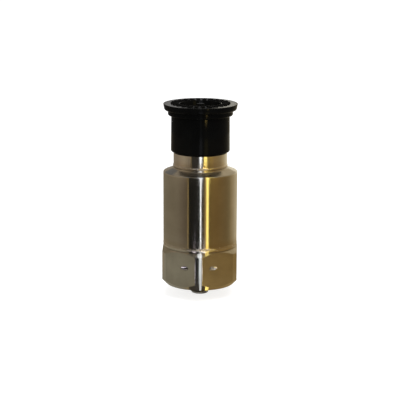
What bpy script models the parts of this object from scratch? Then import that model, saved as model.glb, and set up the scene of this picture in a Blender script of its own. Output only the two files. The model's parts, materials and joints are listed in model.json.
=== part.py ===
"""Industrial vibration sensor.

A hexagonal base carries a welded can and a two-pin connector under a screw-on plastic cap.
Inside the can, a bolted piezoelectric stack shakes a seismic mass below a round circuit board.

Frame: metres, +Z up along the axis. The origin is the centre of the base's mounting face.
Two corners of the hexagon lie on the Y axis and the connector's pins lie on the X axis.
"""
from math import cos, pi, radians, sin

import bmesh
import bpy
from mathutils import Matrix, Vector

MM = 0.001

# Facets and shading
LARGE_STEPS = 60
MEDIUM_STEPS = 36
SMALL_STEPS = 20
ARC_STEPS = 3
WELD_STEPS = 4
HEX_SIDES = 6
CREASE_ANGLE = radians(32)
MERGE_DISTANCE = 0.01 * MM

# Clearances
SEAT_GAP = 0.3 * MM                # between pieces that rest on or fit into each other
CUT_MARGIN = 1.0 * MM              # how far a cutter runs past what it cuts
FUSE_DEPTH = 0.3 * MM              # how deep a joined detail is rooted in its carrier

# Can
CAN_RADIUS = 12.15 * MM
CAN_WALL = 1.2 * MM
CAN_ROOF = 2.0 * MM                # thickness at the hole for the connector
CAN_EDGE_ROUND = 0.12 * MM
SHOULDER_DROP = 1.25 * MM          # height of the cone between the can's side and its top land
LAND_ROUND = 0.27 * MM
LAND_MARGIN = 0.3 * MM             # the top land reaches this far outside the neck
WELD_BULGE = 0.1 * MM
LOWER_WELD_HEIGHT = 1.3 * MM
UPPER_WELD_HEIGHT = 0.95 * MM

# Hexagonal base
BASE_HEIGHT = 12.8 * MM            # mounting face to the collar's top
BASE_COLLAR_STEP = 0.05 * MM       # the collar stands this far outside the can
BASE_COLLAR_HEIGHT = 0.2 * MM
BASE_BLEND_HEIGHT = 1.1 * MM       # turned cone from the corners up to the collar
HEX_MARGIN = 0.1 * MM              # the flats stand this far outside the can
HEX_CORNER_STAND = 1.25 * MM       # the turned corners stand this far outside the flats
BASE_CHAMFER = 2.3 * MM
SPIGOT_HEIGHT = 2.2 * MM           # locates the can above the collar
PAD_MARGIN = 0.7 * MM              # the lapped pad reaches this far outside the stack
PAD_HEIGHT = 0.6 * MM
WIRE_HOLE_RADIUS = 0.7 * MM
WIRE_HOLE_HEIGHT = 7.6 * MM
WIRE_HOLE_SPREAD = 4.7 * MM        # from the corner's plane to each mouth of the hole

# Mounting stud
STUD_RADIUS = 3.175 * MM
STUD_REACH = 3.55 * MM             # below the mounting face
STUD_ENGAGEMENT = 6.3 * MM         # inside the base
STUD_CHAMFER = 0.6 * MM
STUD_SOCKET_FLATS = 3.2 * MM
STUD_SOCKET_DEPTH = 2.6 * MM
STUD_MOUTH_CHAMFER = 0.5 * MM

# Bolted stack
BOLT_RADIUS = 1.25 * MM
BOLT_HEAD_RADIUS = 2.25 * MM
BOLT_HEAD_HEIGHT = 2.4 * MM
BOLT_ENGAGEMENT = 4.6 * MM
BOLT_SOCKET_FLATS = 2.0 * MM
BOLT_SOCKET_DEPTH = 1.4 * MM
SLEEVE_WALL = 0.5 * MM
STACK_INSET = 0.6 * MM             # the rings are this much slimmer than the mass
MASS_LEAD_CLEARANCE = 0.5 * MM     # the mass swings clear of the leads beside it
MASS_HEIGHT = 5.0 * MM
MASS_CHAMFER = 0.4 * MM
PIEZO_THICKNESS = 1.4 * MM
ELECTRODE_THICKNESS = 0.3 * MM
ELECTRODE_TAB_WIDTH = 1.8 * MM
ELECTRODE_TAB_CLEARANCE = 0.4 * MM # between the tab's end and the liner
ELECTRODE_TAB_ROOT = 1.0 * MM      # how far the tab overlaps its disc
LOWER_INSULATOR_THICKNESS = 0.8 * MM
UPPER_INSULATOR_THICKNESS = 0.6 * MM
SPRING_THICKNESS = 0.5 * MM
SPRING_DISH = 0.3 * MM

# Shield, liner and circuit board
SHIELD_CLEARANCE = 0.4 * MM
SHIELD_WALL = 0.5 * MM
SHIELD_HEADROOM = 0.5 * MM
SHIELD_HOLE_RADIUS = 3.6 * MM
LINER_WALL = 1.0 * MM
LINER_HEADROOM = 0.7 * MM          # free height above the bolt's head
BOARD_THICKNESS = 1.0 * MM
COMPONENT_ROOM = 2.3 * MM          # free height above the board
CHIP_LENGTH = 4.9 * MM
CHIP_WIDTH = 3.9 * MM
CHIP_HEIGHT = 1.4 * MM
CHIP_INSET = 4.0 * MM              # from the board's edge in to the chip's middle
CHIP_LEG_COUNT = 4                 # on each long side
CHIP_LEG_PITCH = 1.27 * MM
CHIP_LEG_WIDTH = 0.42 * MM
CHIP_LEG_REACH = 0.7 * MM
CHIP_LEG_THICKNESS = 0.2 * MM
CAPACITOR_LENGTH = 3.5 * MM
CAPACITOR_WIDTH = 2.6 * MM
CAPACITOR_HEIGHT = 1.6 * MM
CAPACITOR_INSET = 3.0 * MM
CAPACITOR_ANGLES = [radians(200), radians(340)]
RESISTOR_LENGTH = 2.0 * MM
RESISTOR_WIDTH = 1.0 * MM
RESISTOR_HEIGHT = 0.6 * MM
RESISTOR_COUNT = 4
RESISTOR_PITCH = 1.6 * MM
RESISTOR_INSET = 2.7 * MM
COMPONENT_ROUND = 0.12 * MM

# Connector
THREAD_RADIUS = 7.94 * MM          # five eighths of an inch across
THREAD_LENGTH = 12.8 * MM
THREAD_CHAMFER = 0.5 * MM
THREAD_RELIEF_DEPTH = 0.45 * MM
THREAD_RELIEF_LENGTH = 1.3 * MM
NECK_STEP = 0.86 * MM              # the neck stands this far outside the thread
NECK_HEIGHT = 4.5 * MM
NECK_CHAMFER = 0.2 * MM
SHELL_WALL = 1.04 * MM
SHELL_LEDGE = 1.4 * MM             # seat under the insert
SHELL_LEDGE_LEVEL = 4.2 * MM       # above the neck's lower face
SHELL_SPIGOT_WALL = 1.9 * MM
KEYWAY_DEPTH = 0.42 * MM
KEYWAY_FLOOR_MARGIN = 1.5 * MM     # the keyways stop this far above the insert
KEYWAY_WIDTH = 1.5 * MM
MASTER_KEYWAY_WIDTH = 2.6 * MM
KEYWAY_ANGLES = [radians(a) for a in (90, 165, 215, 325, 15)]
INSERT_THICKNESS = 3.4 * MM
PIN_RADIUS = 0.785 * MM
PIN_PITCH = 4.8 * MM
PIN_REACH = 7.2 * MM               # above the insert's face
CUP_RADIUS = 1.15 * MM
CUP_LENGTH = 2.4 * MM
CUP_BORE = 0.8 * MM
CUP_BORE_DEPTH = 1.6 * MM

# Leads
LEAD_RADIUS = 0.3 * MM
LEAD_LINER_MARGIN = 0.9 * MM       # from the liner's bore in to the leads' middle
PIN_LEAD_RADIUS = 0.42 * MM
PIN_LEAD_START = 1.9 * MM          # from the axis, on the board
LEAD_POINTS = 18

# Cap
CAP_END_CLEARANCE = 0.4 * MM       # above the connector's rim
CAP_SKIRT_WALL = 1.42 * MM
CAP_DRAFT = 0.12 * MM              # the skirt is this much slimmer at its top
CAP_FOOT_ROUND = 0.7 * MM
CAP_MOUTH_CHAMFER = 0.4 * MM
CAP_BEAD_STEP = 0.95 * MM          # lower ring of the head, outside the skirt
CAP_BEAD_HEIGHT = 1.15 * MM
CAP_BEAD_ROUND = 0.6 * MM
CAP_FLANGE_STEP = 2.5 * MM         # upper ring of the head, outside the skirt
CAP_FLANGE_HEIGHT = 2.1 * MM
CAP_FLANGE_ROUND = 0.8 * MM
CAP_FLANGE_DRAFT = 0.25 * MM       # the flange is this much slimmer at its foot
CAP_EDGE_ROUND = 0.15 * MM
CAP_RIM_WIDTH = 2.4 * MM           # plain rim outside the ring of ribs
CAP_RIB_BAND = 3.1 * MM            # from the plain rim in to the recess
CAP_RECESS_DEPTH = 1.7 * MM
CAP_RECESS_DRAFT = 0.25 * MM
CAP_CROWN_WALL = 1.1 * MM          # between the recess and the hollow
CAP_BOSS_RADIUS = 1.25 * MM
CAP_BOSS_DROP = 0.1 * MM           # the boss stops this far below the rim
CAP_RIB_COUNT = 26
CAP_RIB_WIDTH = 1.15 * MM
CAP_RIB_HEIGHT = 0.3 * MM
CAP_RIB_MARGIN = 0.5 * MM          # between the ribs' inner ends and the recess
CAP_RIB_ROUND = 0.2 * MM

# Radii that follow from the sizes above
CAN_BORE = CAN_RADIUS - CAN_WALL
HEX_HALF_FLATS = CAN_RADIUS + HEX_MARGIN
HEX_CORNER_RADIUS = HEX_HALF_FLATS + HEX_CORNER_STAND
BASE_COLLAR_RADIUS = CAN_RADIUS + BASE_COLLAR_STEP
BASE_SPIGOT_RADIUS = CAN_BORE - SEAT_GAP
STUD_HOLE_RADIUS = STUD_RADIUS + SEAT_GAP
BOLT_HOLE_RADIUS = BOLT_RADIUS + SEAT_GAP
SLEEVE_BORE = BOLT_RADIUS + SEAT_GAP
SLEEVE_RADIUS = SLEEVE_BORE + SLEEVE_WALL
STACK_BORE = SLEEVE_RADIUS + SEAT_GAP
SHIELD_RADIUS = CAN_BORE - SHIELD_CLEARANCE
SHIELD_BORE = SHIELD_RADIUS - SHIELD_WALL
LINER_RADIUS = SHIELD_BORE - SEAT_GAP
LINER_BORE = LINER_RADIUS - LINER_WALL
LEAD_RING = LINER_BORE - LEAD_LINER_MARGIN
MASS_RADIUS = LEAD_RING - LEAD_RADIUS - MASS_LEAD_CLEARANCE
STACK_RADIUS = MASS_RADIUS - STACK_INSET
PAD_RADIUS = STACK_RADIUS + PAD_MARGIN
NECK_RADIUS = THREAD_RADIUS + NECK_STEP
SHELL_BORE = THREAD_RADIUS - SHELL_WALL
SHELL_WIREWAY = SHELL_BORE - SHELL_LEDGE
SHELL_SPIGOT_RADIUS = SHELL_WIREWAY + SHELL_SPIGOT_WALL
CAN_HOLE = SHELL_SPIGOT_RADIUS + SEAT_GAP
LAND_RADIUS = NECK_RADIUS + LAND_MARGIN
CAP_BORE = THREAD_RADIUS + SEAT_GAP
CAP_SKIRT_RADIUS = CAP_BORE + CAP_SKIRT_WALL
CAP_FLANGE_RADIUS = CAP_SKIRT_RADIUS + CAP_FLANGE_STEP
CAP_RIB_OUTER = CAP_FLANGE_RADIUS - CAP_RIM_WIDTH
CAP_RECESS_RADIUS = CAP_RIB_OUTER - CAP_RIB_BAND

# Levels that follow from the sizes above, from the base up
BASE_TOP = BASE_HEIGHT + SPIGOT_HEIGHT
PAD_TOP = BASE_TOP + PAD_HEIGHT
LOWER_INSULATOR_LEVEL = PAD_TOP + SEAT_GAP
GROUND_LEVEL = LOWER_INSULATOR_LEVEL + LOWER_INSULATOR_THICKNESS + SEAT_GAP
LOWER_PIEZO_LEVEL = GROUND_LEVEL + ELECTRODE_THICKNESS + SEAT_GAP
SIGNAL_LEVEL = LOWER_PIEZO_LEVEL + PIEZO_THICKNESS + SEAT_GAP
UPPER_PIEZO_LEVEL = SIGNAL_LEVEL + ELECTRODE_THICKNESS + SEAT_GAP
TOP_ELECTRODE_LEVEL = UPPER_PIEZO_LEVEL + PIEZO_THICKNESS + SEAT_GAP
MASS_LEVEL = TOP_ELECTRODE_LEVEL + ELECTRODE_THICKNESS + SEAT_GAP
UPPER_INSULATOR_LEVEL = MASS_LEVEL + MASS_HEIGHT + SEAT_GAP
SPRING_LEVEL = UPPER_INSULATOR_LEVEL + UPPER_INSULATOR_THICKNESS + SEAT_GAP
BOLT_HEAD_LEVEL = SPRING_LEVEL + SPRING_THICKNESS + SPRING_DISH + SEAT_GAP
BOLT_SHANK = BOLT_HEAD_LEVEL - PAD_TOP + BOLT_ENGAGEMENT
LINER_LEVEL = BASE_TOP + SEAT_GAP
LINER_TOP = BOLT_HEAD_LEVEL + BOLT_HEAD_HEIGHT + LINER_HEADROOM
BOARD_LEVEL = LINER_TOP + SEAT_GAP
BOARD_TOP = BOARD_LEVEL + BOARD_THICKNESS
SHIELD_TOP = BOARD_TOP + COMPONENT_ROOM + SHIELD_WALL
CAN_LEVEL = BASE_HEIGHT + SEAT_GAP
CAN_CEILING = SHIELD_TOP + SHIELD_HEADROOM
CAN_TOP = CAN_CEILING + CAN_ROOF
SHELL_LEVEL = CAN_TOP + SEAT_GAP
NECK_TOP = SHELL_LEVEL + NECK_HEIGHT
SHELL_TOP = NECK_TOP + THREAD_LENGTH
INSERT_LEVEL = SHELL_LEVEL + SHELL_LEDGE_LEVEL + SEAT_GAP
INSERT_TOP = INSERT_LEVEL + INSERT_THICKNESS
CUP_LEVEL = INSERT_LEVEL - SEAT_GAP - CUP_LENGTH
CAP_LEVEL = NECK_TOP + SEAT_GAP
CAP_HOLLOW_DEPTH = SHELL_TOP + CAP_END_CLEARANCE - CAP_LEVEL
CAP_HEIGHT = CAP_HOLLOW_DEPTH + CAP_CROWN_WALL + CAP_RECESS_DEPTH


def clear_scene():
    for item in list(bpy.data.objects):
        bpy.data.objects.remove(item, do_unlink=True)


def new_collection(name):
    group = bpy.data.collections.new(name)
    bpy.context.scene.collection.children.link(group)
    return group


def new_material(name, colour, metallic, roughness):
    finish = bpy.data.materials.new(name)
    finish.use_nodes = True
    shader = finish.node_tree.nodes["Principled BSDF"]
    shader.inputs["Base Color"].default_value = (*colour, 1.0)
    shader.inputs["Metallic"].default_value = metallic
    shader.inputs["Roughness"].default_value = roughness
    finish.diffuse_color = (*colour, 1.0)
    return finish


def place(name, data, level=0.0, spot=(0.0, 0.0)):
    """Adds an object for the given mesh or curve to the sensor, at a height above the base."""
    piece = bpy.data.objects.new(name, data)
    piece.location = (spot[0], spot[1], level)
    piece.parent = AXIS
    SENSOR.objects.link(piece)
    return piece


def mesh_from(name, shape):
    mesh = bpy.data.meshes.new(name)
    shape.to_mesh(mesh)
    shape.free()
    return mesh


def arc(centre, radius, start, end):
    """Points of an arc in the (radius, height) plane, between two angles in degrees."""
    step = radians(end - start) / ARC_STEPS
    turns = [radians(start) + step * i for i in range(ARC_STEPS + 1)]
    return [(centre[0] + radius * cos(t), centre[1] + radius * sin(t)) for t in turns]


def bulge(low, high, radius, height):
    """Points down a weld bead that swells by height between two levels of a turned side."""
    points = []
    for i in range(WELD_STEPS + 1):
        share = i / WELD_STEPS
        points.append((radius + height * sin(pi * share), high + (low - high) * share))
    return points


def turned(name, profile, finish, level=0.0, steps=LARGE_STEPS, spot=(0.0, 0.0)):
    """A turned piece: the profile runs down its outer side and is closed unless it ends on the axis."""
    shape = bmesh.new()
    verts = [shape.verts.new((radius, 0.0, height)) for radius, height in profile]
    for upper, lower in zip(verts, verts[1:]):
        shape.edges.new((upper, lower))
    if profile[0][0] > 0:
        shape.edges.new((verts[-1], verts[0]))
    piece = place(name, mesh_from(name, shape), level, spot)
    piece.data.materials.append(finish)
    screw = piece.modifiers.new("turn", "SCREW")
    screw.steps = steps
    screw.render_steps = steps
    screw.use_merge_vertices = True
    screw.merge_threshold = MERGE_DISTANCE
    return piece


def box(size, centre, turn=0.0):
    """A box of the given size, turned about the vertical axis after it is moved to its centre."""
    shape = bmesh.new()
    bmesh.ops.create_cube(shape, size=1.0)
    bmesh.ops.scale(shape, vec=size, verts=shape.verts)
    bmesh.ops.translate(shape, vec=centre, verts=shape.verts)
    bmesh.ops.rotate(shape, matrix=Matrix.Rotation(turn, 3, "Z"), verts=shape.verts)
    return shape


def prism(sides, flat_radius, low, high, turn=0.0):
    """An upright prism whose flats lie at the given radius."""
    shape = bmesh.new()
    corner_radius = flat_radius / cos(pi / sides)
    bmesh.ops.create_cone(shape, cap_ends=True, segments=sides, radius1=corner_radius,
                          radius2=corner_radius, depth=high - low)
    bmesh.ops.translate(shape, vec=(0.0, 0.0, (low + high) / 2), verts=shape.verts)
    bmesh.ops.rotate(shape, matrix=Matrix.Rotation(turn, 3, "Z"), verts=shape.verts)
    return shape


def gather(shapes):
    """Joins several separate shapes into one."""
    whole = bmesh.new()
    for shape in shapes:
        part = mesh_from("part", shape)
        whole.from_mesh(part)
        bpy.data.meshes.remove(part)
    return whole


def combine(piece, name, shape, operation):
    """Cuts, joins or intersects a piece with a shape given in the piece's own frame."""
    cutter = bpy.data.objects.new(name, mesh_from(name, shape))
    cutter.location = piece.location
    cutter.parent = AXIS
    cutter.hide_render = True
    cutter.display_type = "WIRE"
    CUTTERS.objects.link(cutter)
    boolean = piece.modifiers.new(name, "BOOLEAN")
    boolean.operation = operation
    boolean.solver = "EXACT"
    boolean.object = cutter


def round_edges(piece, width, segments=1):
    bevel = piece.modifiers.new("round", "BEVEL")
    bevel.width = width
    bevel.segments = segments
    bevel.limit_method = "ANGLE"
    bevel.angle_limit = CREASE_ANGLE


def settle(piece):
    """Makes the modifiers' result the piece's own mesh, smooth except at its crisp edges."""
    view = bpy.context.evaluated_depsgraph_get()
    mesh = bpy.data.meshes.new_from_object(piece.evaluated_get(view))
    profile = piece.data
    piece.modifiers.clear()
    piece.data = mesh
    bpy.data.meshes.remove(profile)
    mesh.name = piece.name
    mesh.shade_smooth()
    mesh.set_sharp_from_angle(angle=CREASE_ANGLE)
    return piece


def washer(name, bore, radius, thickness, finish, level, chamfer=0.0, steps=MEDIUM_STEPS):
    """A flat ring with its lower face at the given level."""
    profile = [(bore, thickness)]
    if chamfer:
        profile += [(radius - chamfer, thickness), (radius, thickness - chamfer)]
        profile += [(radius, chamfer), (radius - chamfer, 0.0)]
    else:
        profile += [(radius, thickness), (radius, 0.0)]
    profile += [(bore, 0.0)]
    return turned(name, profile, finish, level, steps)


def block(name, size, finish, level, spot, rounding=COMPONENT_ROUND):
    """A rounded block that stands at the given level."""
    piece = place(name, mesh_from(name, box(size, (0.0, 0.0, size[2] / 2))), level, spot)
    piece.data.materials.append(finish)
    if rounding:
        round_edges(piece, rounding)
    return piece


def smooth_route(start, end):
    """Points of an S-shaped lead that leaves and arrives upright."""
    points = []
    for i in range(LEAD_POINTS + 1):
        share = i / LEAD_POINTS
        ease = share * share * (3 - 2 * share)
        flat = Vector(start[:2]).lerp(Vector(end[:2]), ease)
        points.append((flat.x, flat.y, start[2] + (end[2] - start[2]) * share))
    return points


def lead(name, start, end, radius, finish):
    curve = bpy.data.curves.new(name, "CURVE")
    curve.dimensions = "3D"
    curve.bevel_depth = radius
    curve.bevel_resolution = 2
    curve.use_fill_caps = True
    route = smooth_route(start, end)
    spline = curve.splines.new("POLY")
    spline.points.add(len(route) - 1)
    for point, spot in zip(spline.points, route):
        point.co = (*spot, 1.0)
    curve.materials.append(finish)
    return place(name, curve)


def make_base():
    """Hex bar turned at both ends: corners, cone and collar are turned, flats are the bar's own."""
    cone_foot = BASE_HEIGHT - BASE_COLLAR_HEIGHT - BASE_BLEND_HEIGHT
    bolt_floor = BOLT_HEAD_LEVEL - BOLT_SHANK - SEAT_GAP
    profile = [
        (0.0, bolt_floor),
        (BOLT_HOLE_RADIUS, bolt_floor),
        (BOLT_HOLE_RADIUS, PAD_TOP),
        (PAD_RADIUS, PAD_TOP),
        (PAD_RADIUS, BASE_TOP),
        (BASE_SPIGOT_RADIUS, BASE_TOP),
        (BASE_SPIGOT_RADIUS, BASE_HEIGHT),
        (BASE_COLLAR_RADIUS, BASE_HEIGHT),
        (BASE_COLLAR_RADIUS, BASE_HEIGHT - BASE_COLLAR_HEIGHT),
        (HEX_CORNER_RADIUS, cone_foot),
        (HEX_CORNER_RADIUS, BASE_CHAMFER),
        (HEX_CORNER_RADIUS - BASE_CHAMFER, 0.0),
        (STUD_HOLE_RADIUS + STUD_MOUTH_CHAMFER, 0.0),
        (STUD_HOLE_RADIUS, STUD_MOUTH_CHAMFER),
        (STUD_HOLE_RADIUS, STUD_ENGAGEMENT + SEAT_GAP),
        (0.0, STUD_ENGAGEMENT + SEAT_GAP),
    ]
    piece = turned("hex_base", profile, STEEL)
    bar = prism(HEX_SIDES, HEX_HALF_FLATS, -CUT_MARGIN, PAD_TOP + CUT_MARGIN)
    combine(piece, "hex_bar", bar, "INTERSECT")
    combine(piece, "wire_hole_drill", wire_hole(), "DIFFERENCE")
    return settle(piece)


def wire_hole():
    """A drill that runs across the front corner and comes out on the flats at its two sides."""
    half_corner = pi / HEX_SIDES
    mouth_drop = WIRE_HOLE_SPREAD * sin(half_corner)
    offset = (HEX_HALF_FLATS - mouth_drop) / cos(half_corner)
    drill = bmesh.new()
    bmesh.ops.create_cone(drill, cap_ends=True, segments=SMALL_STEPS, radius1=WIRE_HOLE_RADIUS,
                          radius2=WIRE_HOLE_RADIUS, depth=4 * WIRE_HOLE_SPREAD)
    bmesh.ops.rotate(drill, matrix=Matrix.Rotation(pi / 2, 3, "Y"), verts=drill.verts)
    bmesh.ops.translate(drill, vec=(0.0, -offset, WIRE_HOLE_HEIGHT), verts=drill.verts)
    return drill


def make_stud():
    """Set screw with a chamfer at each end and a hexagon socket in its lower end."""
    length = STUD_REACH + STUD_ENGAGEMENT
    profile = [
        (0.0, length),
        (STUD_RADIUS - STUD_CHAMFER, length),
        (STUD_RADIUS, length - STUD_CHAMFER),
        (STUD_RADIUS, STUD_CHAMFER),
        (STUD_RADIUS - STUD_CHAMFER, 0.0),
        (0.0, 0.0),
    ]
    piece = turned("mounting_stud", profile, DARK_STEEL, -STUD_REACH, MEDIUM_STEPS)
    socket = prism(HEX_SIDES, STUD_SOCKET_FLATS / 2, -CUT_MARGIN, STUD_SOCKET_DEPTH)
    combine(piece, "stud_socket", socket, "DIFFERENCE")
    return settle(piece)


def make_can():
    """Tube closed by a coned shoulder, with the weld bead that joins it to the base."""
    height = CAN_TOP - CAN_LEVEL
    ceiling = CAN_CEILING - CAN_LEVEL
    shoulder = height - LAND_ROUND
    cone_foot = shoulder - SHOULDER_DROP
    profile = [
        (LAND_RADIUS - LAND_ROUND, height),
        (LAND_RADIUS, shoulder),
        (CAN_RADIUS - CAN_EDGE_ROUND, cone_foot),
        (CAN_RADIUS, cone_foot - CAN_EDGE_ROUND),
    ]
    profile += bulge(CAN_EDGE_ROUND, LOWER_WELD_HEIGHT, CAN_RADIUS, WELD_BULGE)
    profile += [
        (CAN_RADIUS - CAN_EDGE_ROUND, 0.0),
        (CAN_BORE, 0.0),
        (CAN_BORE, ceiling),
        (CAN_HOLE, ceiling),
        (CAN_HOLE, height),
    ]
    return settle(turned("can", profile, STEEL, CAN_LEVEL))


def make_connector_shell():
    """Neck, thread body and spigot in one turning, with keyways broached inside the rim."""
    rim = NECK_HEIGHT + THREAD_LENGTH
    relief_top = NECK_HEIGHT + THREAD_RELIEF_LENGTH
    relief_radius = THREAD_RADIUS - THREAD_RELIEF_DEPTH
    spigot_foot = CAN_CEILING - SHELL_LEVEL
    profile = [
        (THREAD_RADIUS - THREAD_CHAMFER, rim),
        (THREAD_RADIUS, rim - THREAD_CHAMFER),
        (THREAD_RADIUS, relief_top),
        (relief_radius, relief_top - THREAD_RELIEF_DEPTH),
        (relief_radius, NECK_HEIGHT),
        (NECK_RADIUS - NECK_CHAMFER, NECK_HEIGHT),
        (NECK_RADIUS, NECK_HEIGHT - NECK_CHAMFER),
    ]
    profile += bulge(CAN_EDGE_ROUND, UPPER_WELD_HEIGHT, NECK_RADIUS, WELD_BULGE)
    profile += [
        (NECK_RADIUS - CAN_EDGE_ROUND, 0.0),
        (SHELL_SPIGOT_RADIUS, 0.0),
        (SHELL_SPIGOT_RADIUS, spigot_foot),
        (SHELL_WIREWAY, spigot_foot),
        (SHELL_WIREWAY, SHELL_LEDGE_LEVEL),
        (SHELL_BORE, SHELL_LEDGE_LEVEL),
        (SHELL_BORE, rim),
    ]
    piece = turned("connector_shell", profile, STEEL, SHELL_LEVEL)
    floor = INSERT_TOP - SHELL_LEVEL + KEYWAY_FLOOR_MARGIN
    combine(piece, "keyway_broach", keyways(floor, rim + CUT_MARGIN), "DIFFERENCE")
    return settle(piece)


def keyways(low, high):
    slots = []
    for index, angle in enumerate(KEYWAY_ANGLES):
        width = KEYWAY_WIDTH if index else MASTER_KEYWAY_WIDTH
        size = (CUT_MARGIN + KEYWAY_DEPTH, width, high - low)
        middle = SHELL_BORE + KEYWAY_DEPTH - size[0] / 2
        slots.append(box(size, (middle, 0.0, (low + high) / 2), angle))
    return gather(slots)


def pin_spots():
    half = PIN_PITCH / 2
    return [("left", Vector((-half, 0.0))), ("right", Vector((half, 0.0)))]


def make_insert():
    """Insulator that fills the shell's bore round the two pins."""
    piece = turned("connector_insert", [
        (0.0, INSERT_THICKNESS),
        (SHELL_BORE - SEAT_GAP, INSERT_THICKNESS),
        (SHELL_BORE - SEAT_GAP, 0.0),
        (0.0, 0.0),
    ], BLACK_INSULATOR, INSERT_LEVEL, MEDIUM_STEPS)
    drills = []
    for _, spot in pin_spots():
        drill = prism(SMALL_STEPS, PIN_RADIUS + SEAT_GAP, -CUT_MARGIN, INSERT_THICKNESS + CUT_MARGIN)
        bmesh.ops.translate(drill, vec=(*spot, 0.0), verts=drill.verts)
        drills.append(drill)
    combine(piece, "pin_drills", gather(drills), "DIFFERENCE")
    return settle(piece)


def make_pins():
    """Round-nosed contacts with a solder cup below the insert."""
    shoulder = CUP_LENGTH
    tip = INSERT_TOP + PIN_REACH - CUP_LEVEL
    for side, spot in pin_spots():
        profile = arc((0.0, tip - PIN_RADIUS), PIN_RADIUS, 90, 0)
        profile[0] = (0.0, tip)
        profile += [
            (PIN_RADIUS, shoulder),
            (CUP_RADIUS, shoulder),
            (CUP_RADIUS, 0.0),
            (CUP_BORE, 0.0),
            (CUP_BORE, CUP_BORE_DEPTH),
            (0.0, CUP_BORE_DEPTH),
        ]
        settle(turned(f"contact_pin_{side}", profile, GOLD, CUP_LEVEL, SMALL_STEPS, spot))


def make_cap():
    """Moulded cap: skirt over the thread, stepped head, recess with a boss, ring of grip ribs."""
    crown = CAP_HEIGHT
    floor = crown - CAP_RECESS_DEPTH
    flange_foot = crown - CAP_FLANGE_HEIGHT
    bead_foot = flange_foot - CAP_BEAD_HEIGHT
    bead_radius = CAP_SKIRT_RADIUS + CAP_BEAD_STEP
    skirt_top = CAP_SKIRT_RADIUS - CAP_DRAFT
    edge_centre = (CAP_FLANGE_RADIUS - CAP_EDGE_ROUND, crown - CAP_EDGE_ROUND)
    flange_side = CAP_FLANGE_RADIUS - CAP_FLANGE_DRAFT
    flange_round_centre = (flange_side - CAP_FLANGE_ROUND, flange_foot + CAP_FLANGE_ROUND)
    bead_round_centre = (bead_radius - CAP_BEAD_ROUND, bead_foot)
    foot_centre = (CAP_SKIRT_RADIUS - CAP_FOOT_ROUND, CAP_FOOT_ROUND)
    profile = [
        (0.0, crown - CAP_BOSS_DROP),
        (CAP_BOSS_RADIUS, crown - CAP_BOSS_DROP),
        (CAP_BOSS_RADIUS, floor),
        (CAP_RECESS_RADIUS - CAP_RECESS_DRAFT, floor),
        (CAP_RECESS_RADIUS, crown),
    ]
    profile += arc(edge_centre, CAP_EDGE_ROUND, 90, 0)
    profile += arc(flange_round_centre, CAP_FLANGE_ROUND, 0, -90)
    profile += [(bead_radius, flange_foot)]
    profile += arc(bead_round_centre, CAP_BEAD_ROUND, 0, -90)
    profile += [(skirt_top, bead_foot - CAP_BEAD_ROUND)]
    profile += arc(foot_centre, CAP_FOOT_ROUND, 0, -90)
    profile += [
        (CAP_BORE + CAP_MOUTH_CHAMFER, 0.0),
        (CAP_BORE, CAP_MOUTH_CHAMFER),
        (CAP_BORE, CAP_HOLLOW_DEPTH),
        (0.0, CAP_HOLLOW_DEPTH),
    ]
    piece = turned("cap", profile, BLACK_PLASTIC, CAP_LEVEL)
    combine(piece, "grip_ribs", grip_ribs(crown), "UNION")
    return settle(piece)


def grip_ribs(crown):
    """Plain raised ribs set evenly round the head."""
    inner = CAP_RECESS_RADIUS + CAP_RIB_MARGIN
    size = (CAP_RIB_OUTER - inner, CAP_RIB_WIDTH, CAP_RIB_HEIGHT + FUSE_DEPTH)
    middle = ((inner + CAP_RIB_OUTER) / 2, 0.0, crown - FUSE_DEPTH + size[2] / 2)
    ribs = []
    for index in range(CAP_RIB_COUNT):
        rib = box(size, middle, 2 * pi * index / CAP_RIB_COUNT)
        top = [edge for edge in rib.edges if all(v.co.z > crown for v in edge.verts)]
        bmesh.ops.bevel(rib, geom=top, offset=CAP_RIB_ROUND, segments=1, affect="EDGES")
        ribs.append(rib)
    return gather(ribs)


def electrode(name, level, tab_turn=None):
    """Thin contact disc, with a solder tab outside the stack where a lead meets it."""
    piece = washer(name, STACK_BORE, STACK_RADIUS, ELECTRODE_THICKNESS, BRASS, level)
    if tab_turn is not None:
        root = STACK_RADIUS - ELECTRODE_TAB_ROOT
        reach = LINER_BORE - ELECTRODE_TAB_CLEARANCE
        middle = ((root + reach) / 2, 0.0, ELECTRODE_THICKNESS / 2)
        tab = box((reach - root, ELECTRODE_TAB_WIDTH, ELECTRODE_THICKNESS), middle, tab_turn)
        combine(piece, f"{name}_tab", tab, "UNION")
    return settle(piece)


def make_stack():
    """Insulators, electrodes, piezoelectric rings and mass, clamped by the preload bolt."""
    settle(washer("lower_insulator", STACK_BORE, STACK_RADIUS, LOWER_INSULATOR_THICKNESS,
                  CERAMIC, LOWER_INSULATOR_LEVEL))
    electrode("ground_electrode", GROUND_LEVEL, pi)
    settle(washer("piezo_ring_lower", STACK_BORE, STACK_RADIUS, PIEZO_THICKNESS,
                  PIEZO, LOWER_PIEZO_LEVEL))
    electrode("signal_electrode", SIGNAL_LEVEL, 0.0)
    settle(washer("piezo_ring_upper", STACK_BORE, STACK_RADIUS, PIEZO_THICKNESS,
                  PIEZO, UPPER_PIEZO_LEVEL))
    electrode("top_electrode", TOP_ELECTRODE_LEVEL)
    settle(washer("seismic_mass", STACK_BORE, MASS_RADIUS, MASS_HEIGHT, TUNGSTEN, MASS_LEVEL,
                  MASS_CHAMFER))
    settle(washer("upper_insulator", BOLT_HOLE_RADIUS, STACK_RADIUS, UPPER_INSULATOR_THICKNESS,
                  CERAMIC, UPPER_INSULATOR_LEVEL))
    sleeve_height = UPPER_INSULATOR_LEVEL - SEAT_GAP - LOWER_INSULATOR_LEVEL
    settle(washer("bolt_sleeve", SLEEVE_BORE, SLEEVE_RADIUS, sleeve_height,
                  AMBER_PLASTIC, LOWER_INSULATOR_LEVEL, steps=SMALL_STEPS))
    make_disc_spring()
    make_bolt()


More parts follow.
